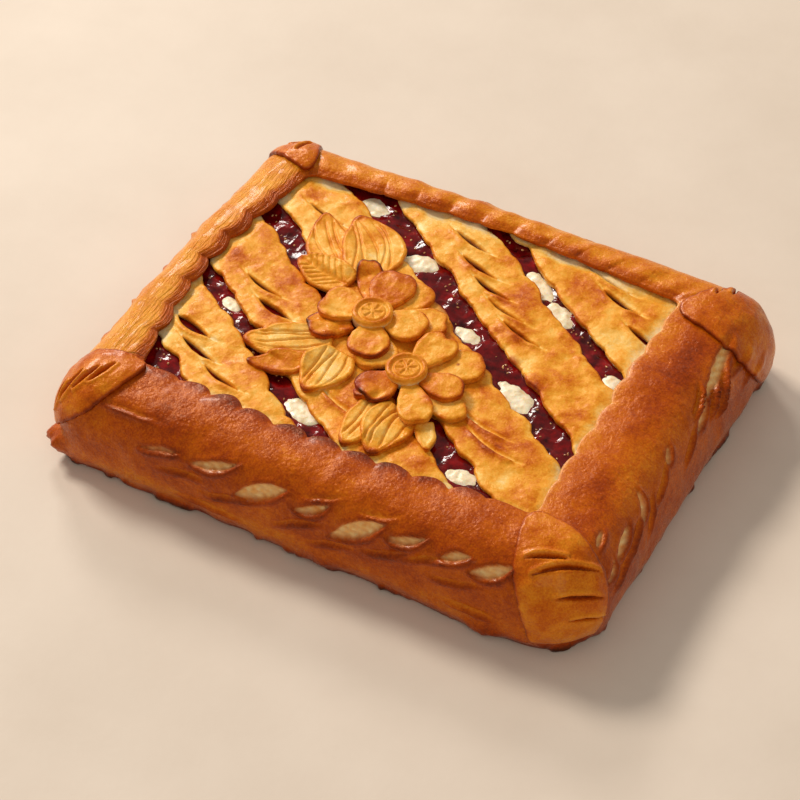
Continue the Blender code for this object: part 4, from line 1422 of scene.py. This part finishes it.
def area_light(name, location, size, watts, colour):
    data = bpy.data.lights.new(name, "AREA")
    data.shape = "RECTANGLE"
    data.size, data.size_y = size
    data.energy = watts
    data.color = colour
    obj = bpy.data.objects.new(name, data)
    obj.location = location
    obj.rotation_euler = (Vector(LIGHT_TARGET) - Vector(location)).to_track_quat("-Z", "Y").to_euler()
    bpy.context.scene.collection.objects.link(obj)


def build_stage():
    corners = [(x * FLOOR_HALF, y * FLOOR_HALF, 0) for x, y in ((-1, -1), (1, -1), (1, 1), (-1, 1))]
    floor = make_mesh("floor", corners, [(0, 1, 2, 3)], smooth_shading=False)
    floor.location.z = -FLOOR_DROP
    floor.data.materials.append(floor_material())
    scene = bpy.context.scene
    scene.view_settings.view_transform = "Standard"
    world = bpy.data.worlds.new("soft_room")
    world.use_nodes = True
    background = world.node_tree.nodes["Background"]
    background.inputs["Color"].default_value = (*WORLD_COLOUR, 1.0)
    background.inputs["Strength"].default_value = WORLD_STRENGTH
    scene.world = world
    for light in LIGHTS:
        area_light(*light)
    camera_data = bpy.data.cameras.new("camera")
    camera_data.lens = CAMERA_LENS
    camera_data.sensor_width = 36.0
    camera_data.clip_end = 20.0
    camera = bpy.data.objects.new("camera", camera_data)
    back = Vector(CAMERA_DIRECTION)
    camera.location = Vector(CAMERA_TARGET) + back * CAMERA_DISTANCE
    camera.rotation_euler = (-back).to_track_quat("-Z", "Y").to_euler()
    bpy.context.scene.collection.objects.link(camera)
    scene.camera = camera


# ---------------------------------------------------------------- the pie


def finish_piece(obj, node, material):
    obj.data.materials.append(material)
    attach(obj, "root")
    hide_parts(node)


def main():
    crust_look = dough_material("crust_egg_washed", 0.0, 1.1, 0.8, 0.28, True)
    corner_look = dough_material("corner_egg_washed", 0.0, 1.1, 0.7, 0.18)
    strip_look = dough_material("strip_dough_baked", 0.0, 0.45, 0.3, 0.34)
    leaf_look = dough_material("leaf_dough_baked", 0.0, 0.55, 0.3, 0.28)
    petal_look = dough_material("petal_dough_baked", 0.02, 0.5, 0.3, 0.28)

    crust = build_case()
    finish_piece(crust, "crust_case", crust_look)
    polygons = [tuple(p.vertices) for p in crust.data.polygons if len(p.vertices) == 4]
    tree = BVHTree.FromPolygons([v.co.copy() for v in crust.data.vertices], polygons)
    for number, shape in enumerate(CORNER_LEAVES):
        leaf = build_corner_leaf(number, tree, *shape)
        finish_piece(leaf, f"corner_leaf_{number + 1}", corner_look)

    cheese = build_fill("cottage_cheese_curds", cheese_height, 0.7)
    finish_piece(cheese, "cottage_cheese", cheese_material())
    jam = build_fill("strawberry_jam_layer", jam_height, 0.6)
    finish_piece(jam, "strawberry_jam", jam_material())

    surface = np.full(TOP.x.shape, STRIP_BASE) + 0.5 * fbm(TOP.x, TOP.y, 0, 18, 2, 141)
    for number in range(len(STRIPS)):
        strip = build_strip(number, surface)
        finish_piece(strip, f"dough_strip_{number + 1}", strip_look)
    seeds = build_seeds(surface)
    seeds.data.materials.append(seed_material())
    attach(seeds, "root")
    for number in range(len(LEAVES)):
        leaf = build_leaf(number, surface)
        finish_piece(leaf, f"dough_leaf_{number + 1}", leaf_look)
    for layer, *shape in PETAL_LAYERS:
        for flower_number, flower in enumerate(FLOWERS, start=1):
            below = surface.copy()
            for number, petal in enumerate(flower[layer], start=1):
                name = f"flower_{flower_number}_{layer}_petal_{number}"
                seed = flower_number * 100 + number * 7 + (50 if layer == "upper" else 0)
                obj = build_petal(f"{name}_baked", flower["centre"], petal, below, seed, *shape)
                finish_piece(obj, name, petal_look)
                record_top(surface, obj)
    for flower_number, flower in enumerate(FLOWERS, start=1):
        button = build_button(f"flower_{flower_number}_button_baked", flower["centre"], flower_number * 0.8)
        finish_piece(button, f"flower_{flower_number}_button", petal_look)


main()
build_stage()
